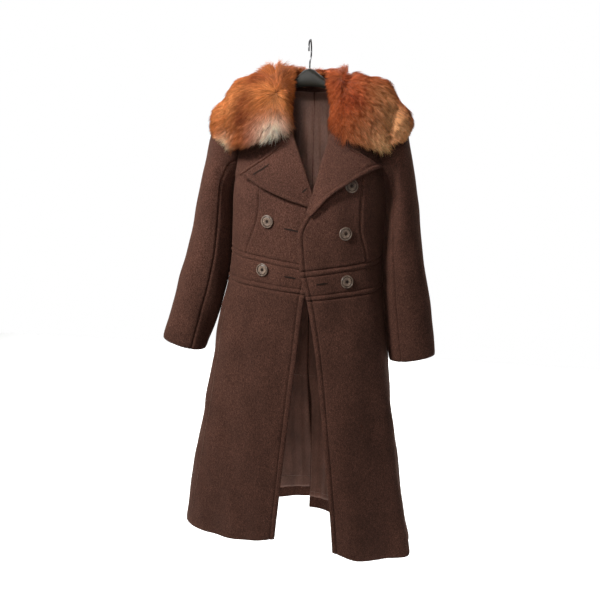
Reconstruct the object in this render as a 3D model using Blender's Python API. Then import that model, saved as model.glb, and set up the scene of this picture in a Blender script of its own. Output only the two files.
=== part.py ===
"""A women's double-breasted wool coat with a fur collar, hung open on a plastic hanger.

Frame: metres, +Z up, +X to the viewer's right, -Y towards the viewer. The origin is the
point where the hanger's hook rests on a rail. Left and right are the viewer's.

The body is worked out on rows that run round the coat, from row 0 at the shoulder seam
over the armhole (rows 0 to 3), bust, waistband (rows 6 to 7) and hip to row 11, the hem.
Each table holds one line that runs down the coat, such as a front edge or a side seam,
and a section joins them at each row. A panel is a stretch of that surface.
"""

import math

import bpy
import numpy as np
from mathutils import Vector

CM = 0.01
MM = 0.001

WOOL = 2.6 * MM  # coating cloth with its fused interlining
LINING = 1.2 * MM
LAPEL = 4.0 * MM  # two layers of cloth turned at the edge
SEAM_GAP = 0.3 * MM
SAME_POINT = 0.0173 * MM
LINING_SET_BACK = 6.0 * MM
LINING_SEAT = 0.8 * MM  # at its upper edge, where it is sewn on

SHOULDER_DROP = 0.39  # fall of the shoulder line for each unit outwards
BODY_CENTRE = 0.4 * CM  # where the body's upright centre line stands in x
SIDE_POWER = 0.84  # below 1 the body's sections are fuller than a true ellipse

HOOK_WIRE = 1.75 * MM
HOOK_RADIUS = 22.0 * MM


COUNTED = "row ring u part full share edge_row start_u start end_u end dip turn".split()


def table(heading, *rows):
    """Columns by name. Lengths are written in centimetres and come back in metres."""
    names = heading.split()
    columns = dict(zip(names, np.array(rows, float).T))
    return {n: c if n in COUNTED else c * CM for n, c in columns.items()}


# The free front edges. Above the break they are the lines where the lapels roll over.
FRONT_LEFT = table(
    "row x y z",
    (0, -6.9, 0.0, -9.3),
    (0.25, -6.7, -1.6, -9.7),
    (0.5, -6.3, -3.6, -10.9),
    (1, -5.2, -7.0, -14.3),
    (2, -2.4, -10.4, -21.5),
    (3, 0.8, -11.8, -29.2),
    (4, 3.3, -12.2, -37.0),
    (5, 4.0, -12.0, -43.5),
    (6, 3.4, -11.8, -50.4),
    (7, 1.8, -11.8, -57.0),
    (8, 0.4, -12.0, -70.4),
    (9, -1.6, -12.5, -91.4),
    (10, -2.9, -12.9, -107.0),
    (11, -3.8, -13.2, -117.6),
)
FRONT_RIGHT = table(
    "row x y z",
    (0, 7.6, 0.0, -9.56),
    (0.25, 7.7, -1.6, -10.0),
    (0.5, 7.8, -3.6, -11.2),
    (1, 7.7, -7.0, -14.6),
    (2, 6.6, -10.8, -21.5),
    (3, 4.7, -12.7, -29.5),
    (4, 2.5, -13.6, -37.8),
    (5, 0.1, -13.6, -43.6),
    (6, 0.8, -13.2, -51.6),
    (7, 2.5, -12.9, -58.2),
    (8, 4.7, -12.8, -70.0),
    (9, 7.4, -13.1, -91.5),
    (10, 9.2, -13.4, -106.5),
    (11, 10.5, -13.8, -119.4),
)
# The centre back seam, then the two edges of the vent, where the right half swings forward.
BACK_LEFT = table(
    "row x y z",
    (0, 0.4, 6.6, -10.0),
    (0.25, 0.4, 6.9, -11.0),
    (0.5, 0.4, 7.3, -12.3),
    (1, 0.4, 7.9, -15.2),
    (2, 0.4, 8.6, -22.4),
    (3, 0.4, 8.7, -30.4),
    (4, 0.4, 8.1, -37.2),
    (5, 0.4, 7.0, -43.0),
    (6, 0.4, 6.3, -47.6),
    (7, 0.4, 6.9, -53.8),
    (8, 0.4, 9.2, -68.0),
    (8.5, 0.4, 10.1, -79.0),
    (9, 1.0, 11.6, -91.0),
    (10, 2.6, 12.7, -107.5),
    (11, 3.6, 13.4, -119.4),
)
BACK_RIGHT = table(
    "row x y z",
    (0, 0.4, 6.6, -10.0),
    (0.25, 0.4, 6.9, -11.0),
    (0.5, 0.4, 7.3, -12.3),
    (1, 0.4, 7.9, -15.2),
    (2, 0.4, 8.6, -22.4),
    (3, 0.4, 8.7, -30.4),
    (4, 0.4, 8.1, -37.2),
    (5, 0.4, 7.0, -43.0),
    (6, 0.4, 6.3, -47.6),
    (7, 0.4, 6.9, -53.8),
    (8, 0.4, 9.2, -68.0),
    (8.5, 0.4, 10.1, -79.0),
    (9, 1.6, 10.3, -91.0),
    (10, 2.0, 9.2, -107.5),
    (11, 2.1, 8.2, -120.2),
)
# The side seams below the underarm.
SIDE_LEFT = table(
    "row x y z",
    (3, -17.0, 0.0, -31.5),
    (4, -17.4, 0.0, -38.0),
    (5, -17.4, 0.0, -43.4),
    (6, -17.6, 0.0, -47.1),
    (7, -18.5, 0.2, -54.6),
    (8, -21.5, 0.4, -68.0),
    (9, -25.0, 0.9, -90.0),
    (10, -27.8, 1.2, -106.5),
    (11, -29.4, 1.5, -119.4),
)
SIDE_RIGHT = table(
    "row x y z",
    (3, 18.4, 0.0, -31.5),
    (4, 18.9, 0.0, -38.2),
    (5, 18.8, 0.0, -43.7),
    (6, 18.75, 0.0, -47.8),
    (7, 19.1, 0.0, -55.2),
    (8, 20.6, -0.4, -68.2),
    (9, 23.6, -0.8, -90.2),
    (10, 26.4, -1.2, -107.2),
    (11, 29.0, -1.6, -120.6),
)
# How far each section bows from a straight line to a full quarter round.
BOW = table(
    "row full",
    (0, 0.0),
    (0.25, 0.15),
    (0.5, 0.35),
    (1, 0.7),
    (2, 0.8),
    (3, 1.0),
    (11, 1.0),
)
# The back neck: where the neck's arc meets the shoulder line, and the rows just below it.
NECK_SHARE = 0.42
NECK_LEFT = table(
    "row x y z",
    (0, -6.9, 0.0, -9.3),
    (0.25, -7.2, 2.0, -9.9),
    (0.5, -7.7, 4.0, -11.2),
)
NECK_RIGHT = table(
    "row x y z",
    (0, 7.6, 0.0, -9.56),
    (0.25, 7.9, 2.0, -10.2),
    (0.5, 8.4, 4.0, -11.5),
)
# The soft folds of the skirt: place along the panel, half-width there, and height at the hem.
FOLDS = {
    "front_left": table(
        "u share depth",
        (0.16, 0.10, 0.5),
        (0.50, 0.13, -0.8),
        (0.80, 0.10, 1.1),
    ),
    "front_right": table(
        "u share depth",
        (0.22, 0.12, 0.6),
        (0.52, 0.12, -0.7),
        (0.76, 0.09, 1.5),
        (0.93, 0.05, -0.9),
    ),
    "back_left": table(
        "u share depth",
        (0.30, 0.11, -1.5),
        (0.56, 0.10, 1.2),
        (0.82, 0.08, -1.0),
    ),
    "back_right": table(
        "u share depth",
        (0.26, 0.11, -1.4),
        (0.52, 0.10, 1.3),
        (0.80, 0.08, -1.1),
    ),
}
FOLD_ROWS = (7.4, 11.0)
HEM_SAG = table("row front back", (7, 0.0, 0.0), (9, -0.3, -0.2), (11, -1.4, -0.6))
# The seam that shapes the front runs from the armhole's side over the bust to the waistband.
PRINCESS = table("row share", (0, 0.52), (3, 0.43), (4, 0.48), (6, 0.61), (11, 0.61))

# The sleeves: the outer and inner points of each ring, its half depth front to back, the
# place of its centre front to back, and how far the armhole curves in towards the body.
SLEEVE_LEFT = table(
    "ring out_x out_z in_x in_z y depth tuck",
    (0, -18.4, -13.78, -17.0, -31.5, 0.0, 5.7, 2.6),
    (1, -20.9, -15.4, -17.3, -32.6, 0.0, 6.7, 1.3),
    (2, -22.4, -19.4, -17.6, -34.2, 0.0, 7.2, 0.4),
    (3, -23.7, -24.8, -18.0, -36.5, 0.0, 7.3, 0.0),
    (4, -25.4, -32.0, -18.0, -41.0, -0.1, 7.2, 0.0),
    (5, -27.6, -42.0, -18.1, -48.0, -0.3, 6.8, 0.0),
    (6, -30.3, -53.0, -19.5, -57.0, -0.9, 6.1, 0.0),
    (7, -32.7, -62.6, -21.9, -65.6, -1.5, 5.4, 0.0),
    (8, -34.9, -70.9, -24.1, -73.6, -2.2, 4.6, 0.0),
)
SLEEVE_RIGHT = table(
    "ring out_x out_z in_x in_z y depth tuck",
    (0, 18.8, -13.93, 18.4, -31.5, 0.0, 5.7, 2.3),
    (1, 21.2, -15.6, 18.8, -32.6, 0.0, 6.7, 1.2),
    (2, 22.9, -19.6, 19.2, -34.2, 0.0, 7.2, 0.4),
    (3, 24.0, -24.8, 19.25, -36.5, 0.0, 7.3, 0.0),
    (4, 25.4, -32.0, 19.25, -41.0, -0.1, 7.2, 0.0),
    (5, 27.2, -42.0, 19.15, -48.0, -0.3, 6.8, 0.0),
    (6, 29.1, -53.0, 19.6, -57.0, -0.9, 6.1, 0.0),
    (7, 30.9, -62.4, 20.6, -65.2, -1.5, 5.4, 0.0),
    (8, 32.4, -71.2, 21.7, -73.4, -2.2, 4.6, 0.0),
)
# The lapels: a row for each step down the roll line, with the place where it meets the
# outer edge, from the point of the lapel to the break.
LAPEL_LEFT = table(
    "part row u edge_row",
    (0.0, 1.90, 0.60, 2.85),
    (0.33, 2.60, 0.40, 3.38),
    (0.66, 3.30, 0.215, 3.74),
    (1.0, 3.96, 0.035, 4.02),
)
LAPEL_RIGHT = table(
    "part row u edge_row",
    (0.0, 1.90, 0.71, 2.43),
    (0.3, 2.60, 0.475, 2.80),
    (0.55, 3.15, 0.30, 3.20),
    (0.8, 3.65, 0.125, 3.66),
    (1.0, 4.12, 0.03, 4.20),
)
LAPEL_LIFT = 11.0 * MM  # how far the free edge stands off the front

# The fur collar: a row for each line across it, from the neck's edge over the front, the
# shoulder and the sleeve's head, or down the back. start_u and start give its place on
# the panel's inner edge, end_u and end where it leaves the panel, dip how far it bends
# down between, ring and turn (degrees) where it ends on the sleeve, and thick its height.
COLLAR_FRONT = table(
    "start_u start end_u end dip ring turn thick rise lap clear",
    (0, 1.80, 1, 1.88, 0.36, 2.0, 74, 1.6, 0.3, 0.3, 2.3),
    (0, 1.66, 1, 1.78, 0.32, 2.3, 68, 3.6, 0.5, 0.6, 2.0),
    (0, 1.30, 1, 1.45, 0.16, 2.5, 54, 4.8, 0.9, 1.2, 0.9),
    (0, 0.85, 1, 1.00, 0.0, 2.4, 38, 5.0, 1.4, 2.0, 0.7),
    (0, 0.35, 1, 0.50, 0.0, 2.3, 20, 4.8, 2.4, 2.6, 0.7),
    (0, 0.0, 1, 0.0, 0.0, 2.2, 0, 4.6, 3.0, 2.0, 0.7),
)
COLLAR_BACK = table(
    "start_u start end_u end dip ring turn thick rise lap clear",
    (0.32, 0, 1, 0.50, 0.0, 2.2, -20, 4.4, 3.0, 1.6, 0.9),
    (0.22, 0, 1, 1.00, 0.0, 2.0, -44, 4.2, 3.0, 1.3, 1.2),
    (0.13, 0, 1, 1.60, 0.0, 1.0, -80, 4.2, 3.0, 1.2, 1.2),
    (0.06, 0, 0.55, 1.95, 0.0, 0, 0, 4.2, 3.0, 1.2, 0.9),
    (0.0, 0, 0.0, 2.05, 0.0, 0, 0, 4.2, 3.0, 1.2, 0.9),
)
# The fur's height across the collar, as a share of its greatest height.
COLLAR_HEIGHT = table(
    "share part",
    (0, 0.62),
    (0.2, 1.0),
    (0.4, 1.0),
    (0.62, 0.74),
    (0.8, 0.5),
    (0.92, 0.34),
    (1, 0.12),
)
COLLAR_HUG = 2.5 * MM  # the fur's clearance at the neck, where the stand carries it
FUR_TURN = 3.5 * MM  # room between the stand's inner face and the fur that rolls over it
FUR_TURN_LEAN = 0.25  # and how much of its rise the fur leans inwards
STAND = 4.0 * MM  # thickness of the collar's stand
STAND_FROM = 1.0 * CM  # the stand is built where it rises more than this
STAND_SHORT = 1.2 * MM  # the stand's top edge stays this far under the fur

# The buttons: the panel each is sewn to, and its place there.
BUTTONS = {
    "button_top_left": ("front_left", 0.36, 3.05),
    "button_top_right": ("front_right", 0.325, 3.30),
    "button_upper_left": ("front_left", 0.405, 4.53),
    "button_upper_right": ("front_right", 0.40, 4.84),
    "button_waist_left": ("front_left", 0.42, 6.45),
    "button_waist_right": ("front_right", 0.40, 6.53),
}
BUTTON_SEAT = 0.5 * MM
BUTTON_SIDES = 14
BUTTON_PROFILE = table(
    "r z",
    (0, 0),
    (1.38, 0),
    (1.5, 0.12),
    (1.5, 0.32),
    (1.4, 0.44),
    (1.24, 0.44),
    (1.12, 0.3),
    (0, 0.26),
)
BUTTON_BORE = table("r z", (0, -1), (0.11, -1), (0.11, 1), (0, 1))
BUTTON_BORES = 4
BUTTON_BORE_SIDES = 6
BUTTON_BORE_OUT = 2.3 * MM  # from the button's middle to the middle of each hole

# The hanger: its top and bottom line and half its depth, from the middle outwards.
HANGER = table(
    "x top bottom half",
    (0.0, -6.1, -10.1, 0.85),
    (1.2, -6.6, -10.15, 0.85),
    (2.5, -7.6, -10.3, 0.8),
    (3.9, -8.6, -10.6, 0.7),
    (5.4, -9.25, -10.95, 0.6),
    (7.2, -9.73, -11.35, 0.5),
    (10.0, -10.82, -12.3, 0.5),
    (13.5, -12.19, -13.6, 0.5),
    (16.6, -13.4, -14.7, 0.5),
    (17.3, -13.9, -14.5, 0.25),
)
HANGER_SIDES = 12
HANGER_ROUND = 0.8  # the power that squares the hanger's section a little
HOOK_STEM = table("y z", (0, -6.04), (0, -5.2), (0.3, -4.55))
HOOK_START = math.radians(-62)
HOOK_END = math.radians(200)
HOOK_STEPS = 15
HOOK_SIDES = 8

SLEEVE_RINGS = (0, 0.5, 1, 1.5, 2, 2.6, 3.3, 4, 4.7, 5.5, 6.3, 7.1, 8)
ARMHOLE_EASE = 0.05  # how far down its own length the sleeve's edge stays from the armhole
ARMHOLE_ASIDE = 0.6 * MM  # and how far outwards
SLEEVE_STEP = math.radians(15)

BODICE_ROWS = np.concatenate([np.arange(0, 3, 0.25), np.linspace(3, 6, 6)])
BAND_ROWS = np.linspace(6, 7, 3)
SKIRT_ROWS = np.array([7, 7.5, 8, 8.5, 9, 9.5, 10, 10.5, 11])
LINING_ROWS = np.array([7, 7.5, 8, 8.5, 9, 9.5, 10, 10.7])
LINING_BACK_TAKES = [4, 6, 8, 10, 12, 13, 14, 15, 16, 17]  # of the bodice's rows


def spline(knots, values, at):
    """A cubic through the knots that never overshoots them, along the first axis."""
    knots = np.asarray(knots, float)
    values = np.asarray(values, float)
    at = np.asarray(at, float)
    step = np.diff(knots)
    wide = step.reshape(-1, *[1] * (values.ndim - 1))
    rise = np.diff(values, axis=0) / wide
    slope = np.zeros_like(values)
    before = 2 * wide[1:] + wide[:-1]
    after = wide[1:] + 2 * wide[:-1]
    same_way = rise[1:] * rise[:-1] > 0
    first = np.where(same_way, rise[:-1], 1.0)
    second = np.where(same_way, rise[1:], 1.0)
    mean = (before + after) / (before / first + after / second)
    slope[1:-1] = np.where(same_way, mean, 0.0)
    slope[0] = rise[0]
    slope[-1] = rise[-1]
    index = np.clip(np.searchsorted(knots, at, side="right") - 1, 0, len(knots) - 2)
    part = (at - knots[index]) / step[index]
    extra = values.ndim - 1 - index.ndim
    shape = index.reshape(1, *index.shape, *[1] * extra)
    part = part.reshape(*index.shape, *[1] * extra)
    size = step[index].reshape(part.shape)

    def take(array, offset):
        wanted = np.broadcast_to(shape + offset, (1, *array.shape[1:]))
        return np.take_along_axis(array, wanted, 0)[0]

    square = part * part
    cube = square * part
    return (
        take(values, 0) * (2 * cube - 3 * square + 1)
        + take(slope, 0) * size * (cube - 2 * square + part)
        + take(values, 1) * (3 * square - 2 * cube)
        + take(slope, 1) * size * (cube - square)
    )


def points_of(columns):
    return np.stack([columns["x"], columns["y"], columns["z"]], -1)


def line_at(columns, at):
    """The point of a line's table at each row asked for."""
    at = np.atleast_1d(np.asarray(at, float))
    values = np.broadcast_to(points_of(columns)[:, None], (len(columns["row"]), len(at), 3))
    return spline(columns["row"], values, at)


def column_at(columns, key, name, at):
    """One column of a table, read at any values of its key column."""
    wanted = np.ravel(at)
    values = np.broadcast_to(columns[name][:, None], (len(columns[key]), len(wanted)))
    return spline(columns[key], values, wanted).reshape(np.shape(at))


def sleeve_point(sleeve, ring, turn):
    """Each ring is an ellipse from its outer point (turn 0) round the front to its inner point."""
    ring = np.asarray(ring, float)
    part = {n: column_at(sleeve, "ring", n, ring) for n in sleeve if n != "ring"}
    inward = -np.sign(part["out_x"]) * part["tuck"] * np.sin(turn) ** 2
    x = (part["out_x"] + part["in_x"]) / 2 + (part["out_x"] - part["in_x"]) / 2 * np.cos(turn)
    y = part["y"] - part["depth"] * np.sin(turn)
    z = (part["out_z"] + part["in_z"]) / 2 + (part["out_z"] - part["in_z"]) / 2 * np.cos(turn)
    return np.stack([x + inward, y, z], -1)


def outer_line(sleeve, side, back, at):
    """Down the armhole from the shoulder to the underarm, then down the side seam."""
    turn = np.minimum(at, 3.0) * math.radians(60) * (-1 if back else 1)
    hole = sleeve_point(sleeve, np.zeros_like(at), turn)
    seam = line_at(side, np.maximum(at, 3.0))
    return np.where((at <= 3.0)[:, None], hole, seam)


def evenly(curve, count):
    """The same curve at equal steps of its length."""
    length = np.concatenate([[0], np.cumsum(np.linalg.norm(np.diff(curve, axis=0), axis=1))])
    at = np.linspace(0, length[-1], count)
    return np.stack([np.interp(at, length, curve[:, i]) for i in range(3)], -1)


def quarter(start, end, full, steps):
    """From start to end as a quarter round in plan, or straight where full is 0."""
    angle = np.linspace(0, math.pi / 2, steps)
    across = np.sin(angle) ** SIDE_POWER
    along = np.cos(angle) ** SIDE_POWER
    straight = np.linspace(0, 1, steps)
    x = start[0] + (end[0] - start[0]) * (full * across + (1 - full) * straight)
    y = end[1] + (start[1] - end[1]) * (full * along + (1 - full) * (1 - straight))
    return evenly(np.stack([x, y, np.zeros_like(x)], -1), steps)


DENSE = 161
PANELS = {
    "front_left": (FRONT_LEFT, SIDE_LEFT, SLEEVE_LEFT, None),
    "front_right": (FRONT_RIGHT, SIDE_RIGHT, SLEEVE_RIGHT, None),
    "back_left": (BACK_LEFT, SIDE_LEFT, SLEEVE_LEFT, NECK_LEFT),
    "back_right": (BACK_RIGHT, SIDE_RIGHT, SLEEVE_RIGHT, NECK_RIGHT),
}


def sections(name):
    """Each row's section of a panel, from its inner line to the armhole or side seam."""
    inner, side, sleeve, neck = PANELS[name]
    knots = np.concatenate([np.arange(0, 3, 0.25), [3, 4, 5, 6, 7, 8, 8.5, 9, 10, 11]])
    starts = line_at(inner, knots)
    ends = outer_line(sleeve, side, neck is not None, knots)
    share = np.linspace(0, 1, DENSE)
    grow = np.clip((knots - FOLD_ROWS[0]) / (FOLD_ROWS[1] - FOLD_ROWS[0]), 0, 1) ** 1.3
    sag = column_at(HEM_SAG, "row", "back" if neck else "front", np.maximum(knots, 7.0))
    found = []
    for i, row in enumerate(knots):
        if neck and row <= 0.5:
            corner = line_at(neck, [row])[0]
            turn = round(NECK_SHARE * (DENSE - 1)) + 1
            first = quarter(starts[i], corner, 1.0, turn)
            first[:, 2] = np.linspace(starts[i][2], corner[2], turn)
            rest = np.linspace(corner, ends[i], DENSE - turn + 1)[1:]
            curve = np.concatenate([first, rest])
        else:
            curve = quarter(starts[i], ends[i], column_at(BOW, "row", "full", row), DENSE)
            curve[:, 2] = starts[i][2] + (ends[i][2] - starts[i][2]) * share
            curve[:, 2] += sag[i] * np.sin(math.pi * share)
        ahead = np.gradient(curve[:, :2], axis=0)
        ahead /= np.linalg.norm(ahead, axis=1)[:, None]
        out = np.stack([ahead[:, 1], -ahead[:, 0]], -1)
        out *= np.sign((out * (curve[:, :2] - [BODY_CENTRE, 0])).sum())
        fold = FOLDS[name]
        height = sum(
            d * np.exp(-(((share - u) / w) ** 2))
            for u, w, d in zip(fold["u"], fold["share"], fold["depth"])
        )
        ends_fade = np.clip(np.minimum(share, 1 - share) * 8, 0, 1)
        curve[:, :2] += out * (height * grow[i] * ends_fade)[:, None]
        found.append(curve)
    return knots, np.array(found)


SECTIONS = {name: sections(name) for name in PANELS}


def panel_point(name, u, row):
    """A point of the body's outer surface, for arrays of places along and rows down it."""
    knots, curves = SECTIONS[name]
    place = np.clip(u, 0, 1) * (DENSE - 1)
    low = np.minimum(place.astype(int), DENSE - 2)
    part = (place - low)[..., None]
    values = curves[:, low] * (1 - part) + curves[:, low + 1] * part
    return spline(knots, values, row)


def away(normals, points, centre):
    """Turns a grid's normals to point away from a centre line."""
    return normals * np.sign((normals * (points - centre)).sum())


def grid_normals(points, centre):
    down = np.gradient(points, axis=0)
    along = np.gradient(points, axis=1)
    normals = np.cross(down, along)
    normals /= np.maximum(np.linalg.norm(normals, axis=-1), 1e-12)[..., None]
    return away(normals, points, centre)


def body_centre(points):
    """The point of the body's upright centre line at the height of each point."""
    return points * [0, 0, 1] + [BODY_CENTRE, 0, 0]


def panel_normal(name, u, row):
    """The outward direction at points of a panel, by small steps along it and down it."""
    step_u = 0.01
    step_row = 0.05
    low_u = np.clip(u - step_u, 0, 1)
    high_u = np.clip(u + step_u, 0, 1)
    low_row = np.clip(row - step_row, 0, 11)
    high_row = np.clip(row + step_row, 0, 11)
    along = panel_point(name, high_u, row) - panel_point(name, low_u, row)
    down = panel_point(name, u, high_row) - panel_point(name, u, low_row)
    normals = np.cross(down, along)
    normals /= np.maximum(np.linalg.norm(normals, axis=-1), 1e-12)[..., None]
    points = panel_point(name, u, row)
    return away(normals, points, body_centre(points))


def front_places(rows, first, last, count):
    """Places along the front between its edge (0), the shaping seam (1) and the side (2)."""
    seam = column_at(PRINCESS, "row", "share", rows)[:, None]
    at = np.linspace(first, last, count)[None]
    return np.where(at <= 1, at * seam, seam + (at - 1) * (1 - seam))


def back_columns(rows, neck=4, rest=8):
    """Places along the back: some across the neck's arc, the rest from it to the side."""
    over_neck = np.linspace(0, NECK_SHARE, neck + 1)
    beyond = np.linspace(NECK_SHARE, 1, rest + 1)[1:]
    at = np.concatenate([over_neck, beyond])
    return np.broadcast_to(at, (len(rows), len(at)))


def body_pieces():
    """The panels of the body as (points, normals) grids that share their seams' points."""
    bands = (("bodice", BODICE_ROWS), ("waistband", BAND_ROWS), ("skirt", SKIRT_ROWS))
    grids = {}
    for side in ("left", "right"):
        for name, rows in bands:
            back = f"back_{name}" if name == "bodice" else f"{name}_back"
            grids[f"{back}_{side}"] = (f"back_{side}", back_columns(rows), rows)
            if name != "bodice":
                places = front_places(rows, 0, 2, 13)
                grids[f"{name}_front_{side}"] = (f"front_{side}", places, rows)
        for name, first, last in (("front_bodice", 0, 1), ("side_front", 1, 2)):
            places = front_places(BODICE_ROWS, first, last, 7)
            grids[f"{name}_{side}"] = (f"front_{side}", places, BODICE_ROWS)
    made = {}
    for name, (panel, u, rows) in grids.items():
        row = np.broadcast_to(rows[:, None], u.shape)
        points = panel_point(panel, u, row)
        normals = grid_normals(points, body_centre(points))
        if rows[0] == 0:
            on_shoulder = u[0] >= (NECK_SHARE - 0.01 if panel.startswith("back") else 0)
            side = 1 if panel.endswith("right") else -1
            up = np.array([SHOULDER_DROP * side, 0, 1])
            normals[0, on_shoulder] = up / np.linalg.norm(up)
        made[name] = (points, normals)
    return made


def sleeve_pieces():
    """Each sleeve in its two pieces: the top sleeve, and the under sleeve towards the body."""
    made = {}
    for side, sleeve in (("left", SLEEVE_LEFT), ("right", SLEEVE_RIGHT)):
        for name, first, last in (("top_sleeve", -8, 8), ("under_sleeve", 8, 16)):
            turns = np.arange(first, last + 1) * SLEEVE_STEP
            ring, turn = np.meshgrid(SLEEVE_RINGS, turns, indexing="ij")
            points = sleeve_point(sleeve, ring, turn)
            opposite = sleeve_point(sleeve, ring, turn * 0), sleeve_point(sleeve, ring, turn * 0 + math.pi)
            centre = (opposite[0] + opposite[1]) / 2
            made[f"{name}_{side}"] = (points, grid_normals(points, centre))
    return made


def share_normals(pieces):
    """Gives points that meet at a seam one normal, so that the walls meet in a mitre."""
    total = {}
    edges = []
    for name, (points, normals) in pieces.items():
        rim = np.zeros(points.shape[:2], bool)
        rim[[0, -1]] = True
        rim[:, [0, -1]] = True
        edges += [(name, i, j) for i, j in np.argwhere(rim)]
    for name, i, j in edges:
        key = tuple(np.round(pieces[name][0][i, j] / SAME_POINT).astype(int))
        total[key] = total.get(key, 0) + pieces[name][1][i, j]
    for name, i, j in edges:
        key = tuple(np.round(pieces[name][0][i, j] / SAME_POINT).astype(int))
        pieces[name][1][i, j] = total[key] / max(np.linalg.norm(total[key]), 1e-9)


def draw_in(points, distance):
    """Moves the rim of a grid inwards along its own rows and columns."""
    moved = points.copy()
    for axis in (0, 1):
        grid = np.moveaxis(moved, axis, 0)
        for rim, inside in ((0, 1), (-1, -2)):
            way = grid[inside] - grid[rim]
            length = np.maximum(np.linalg.norm(way, axis=-1), 1e-9)[..., None]
            grid[rim] += way / length * np.minimum(distance, length / 3)
    return moved


def grid_faces(rows, columns):
    corner = np.arange(rows * columns).reshape(rows, columns)
    four = corner[:-1, :-1], corner[1:, :-1], corner[1:, 1:], corner[:-1, 1:]
    return np.stack(four, -1).reshape(-1, 4)


def shell(outer, inner):
    """A closed wall between two grids of the same size, its faces pointing outwards."""
    rows, columns = outer.shape[:2]
    count = rows * columns
    front = grid_faces(rows, columns)
    corner = np.arange(count).reshape(rows, columns)
    loop = np.concatenate([corner[0, :-1], corner[:-1, -1], corner[-1, :0:-1], corner[:0:-1, 0]])
    following = np.roll(loop, -1)
    rim = np.stack([loop, following, following + count, loop + count], -1)
    faces = np.concatenate([front, front[:, ::-1] + count, rim])
    points = np.concatenate([outer.reshape(-1, 3), inner.reshape(-1, 3)])
    a, b, c, d = (points[faces[:, i]] for i in range(4))
    volume = (np.cross(a, b) * c).sum() + (np.cross(a, c) * d).sum()
    return points, faces if volume > 0 else faces[:, ::-1]


def material(name, colour, roughness, metallic=0.0):
    made = bpy.data.materials.get(name) or bpy.data.materials.new(name)
    made.use_nodes = True
    shader = made.node_tree.nodes["Principled BSDF"]
    shares = [int(colour[i : i + 2], 16) / 255 for i in (0, 2, 4)]
    linear = [((c + 0.055) / 1.055) ** 2.4 for c in shares]
    shader.inputs["Base Color"].default_value = (*linear, 1)
    shader.inputs["Roughness"].default_value = roughness
    shader.inputs["Metallic"].default_value = metallic
    made.diffuse_color = (*linear, 1)
    return made


def add_object(name, points, faces, finish, smooth=True):
    mesh = bpy.data.meshes.new(name)
    mesh.from_pydata([tuple(p) for p in points], [], [tuple(int(i) for i in f) for f in faces])
    mesh.update()
    mesh.materials.append(finish)
    if smooth:
        mesh.shade_smooth()
        mesh.set_sharp_from_angle(angle=math.radians(50))
    made = bpy.data.objects.new(name, mesh)
    bpy.context.scene.collection.objects.link(made)
    return made


def add_cloth():
    body = body_pieces()
    sleeves = sleeve_pieces()
    share_normals(body)
    share_normals(sleeves)
    pieces = {**body, **sleeves}
    for name, (points, normals) in pieces.items():
        outer = draw_in(points, SEAM_GAP / 2)
        if "sleeve" in name:
            outer[0] += (outer[1] - outer[0]) * ARMHOLE_EASE
            outer[0, :, 0] += ARMHOLE_ASIDE * (1 if name.endswith("right") else -1)
        wool = material(f"wool_{name}", "4E372C", 0.95)
        add_object(name, *shell(outer, outer - normals * WOOL), wool)


def lapel_grid(side, down=9, across=7):
    """A lapel's points and normals on the front panel that it lies on."""
    shape = LAPEL_LEFT if side == "left" else LAPEL_RIGHT
    part = np.linspace(0, 1, down)
    roll = column_at(shape, "part", "row", part)[:, None]
    edge_u = column_at(shape, "part", "u", part)[:, None]
    edge_row = column_at(shape, "part", "edge_row", part)[:, None]
    out = np.linspace(0, 1, across)[None]
    u = edge_u * out
    row = roll + (edge_row - roll) * out
    points = panel_point(f"front_{side}", u, row)
    normals = panel_normal(f"front_{side}", u, row)
    lift = LAPEL_LIFT * out**0.8 * np.sqrt(1 - 0.9 * part[:, None])
    return points, normals, lift


def add_lapels():
    for side in ("left", "right"):
        points, normals, lift = lapel_grid(side)
        under = points + normals * (2 * SEAM_GAP + lift)[..., None]
        over = under + normals * LAPEL
        wool = material(f"wool_lapel_{side}", "4A342B", 0.95)
        add_object(f"lapel_{side}", *shell(over, under), wool)


def collar_line(side, back, station, count=9):
    """One line across the collar, on the surface of the coat below it."""
    panel = f"{'back' if back else 'front'}_{side}"
    sleeve = SLEEVE_LEFT if side == "left" else SLEEVE_RIGHT
    share = np.linspace(0, 1, 25)
    u = station["start_u"] + (station["end_u"] - station["start_u"]) * share
    row = station["start"] + (station["end"] - station["start"]) * share
    row = row + station["dip"] * np.sin(math.pi * share)
    line = panel_point(panel, u, row)
    if station["ring"] > 0:
        first = math.radians(60) * station["end"] * (-1 if back else 1)
        turn = first + (math.radians(station["turn"]) - first) * share
        line = np.concatenate([line, sleeve_point(sleeve, station["ring"] * share, turn)[1:]])
    return evenly(line, count)


def stations_of(columns, names):
    for values in zip(*columns.values()):
        yield dict(zip(names, values))


def collar_grid():
    """The collar's lines from the left front round the back to the right front."""
    lines = []
    found = {"thick": [], "rise": [], "lap": [], "clear": []}
    names = list(COLLAR_FRONT)
    front = list(stations_of(COLLAR_FRONT, names))
    back = list(stations_of(COLLAR_BACK, names))
    order = [("left", False, s) for s in front] + [("left", True, s) for s in back]
    order += [("right", True, s) for s in back[-2::-1]]
    order += [("right", False, s) for s in front[::-1]]
    for side, behind, station in order:
        lines.append(collar_line(side, behind, station))
        for name, values in found.items():
            values.append(station[name])
    points = np.array(lines)
    normals = grid_normals(points, points.mean((0, 1)) - [0, 0, 10 * CM])
    for shoulder in (len(front) - 1, len(points) - len(front)):
        normals[shoulder, :, 1] = 0
        normals[shoulder] /= np.linalg.norm(normals[shoulder], axis=-1)[:, None]
    given = {name: np.array(values)[:, None] for name, values in found.items()}
    return points, normals, given


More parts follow.
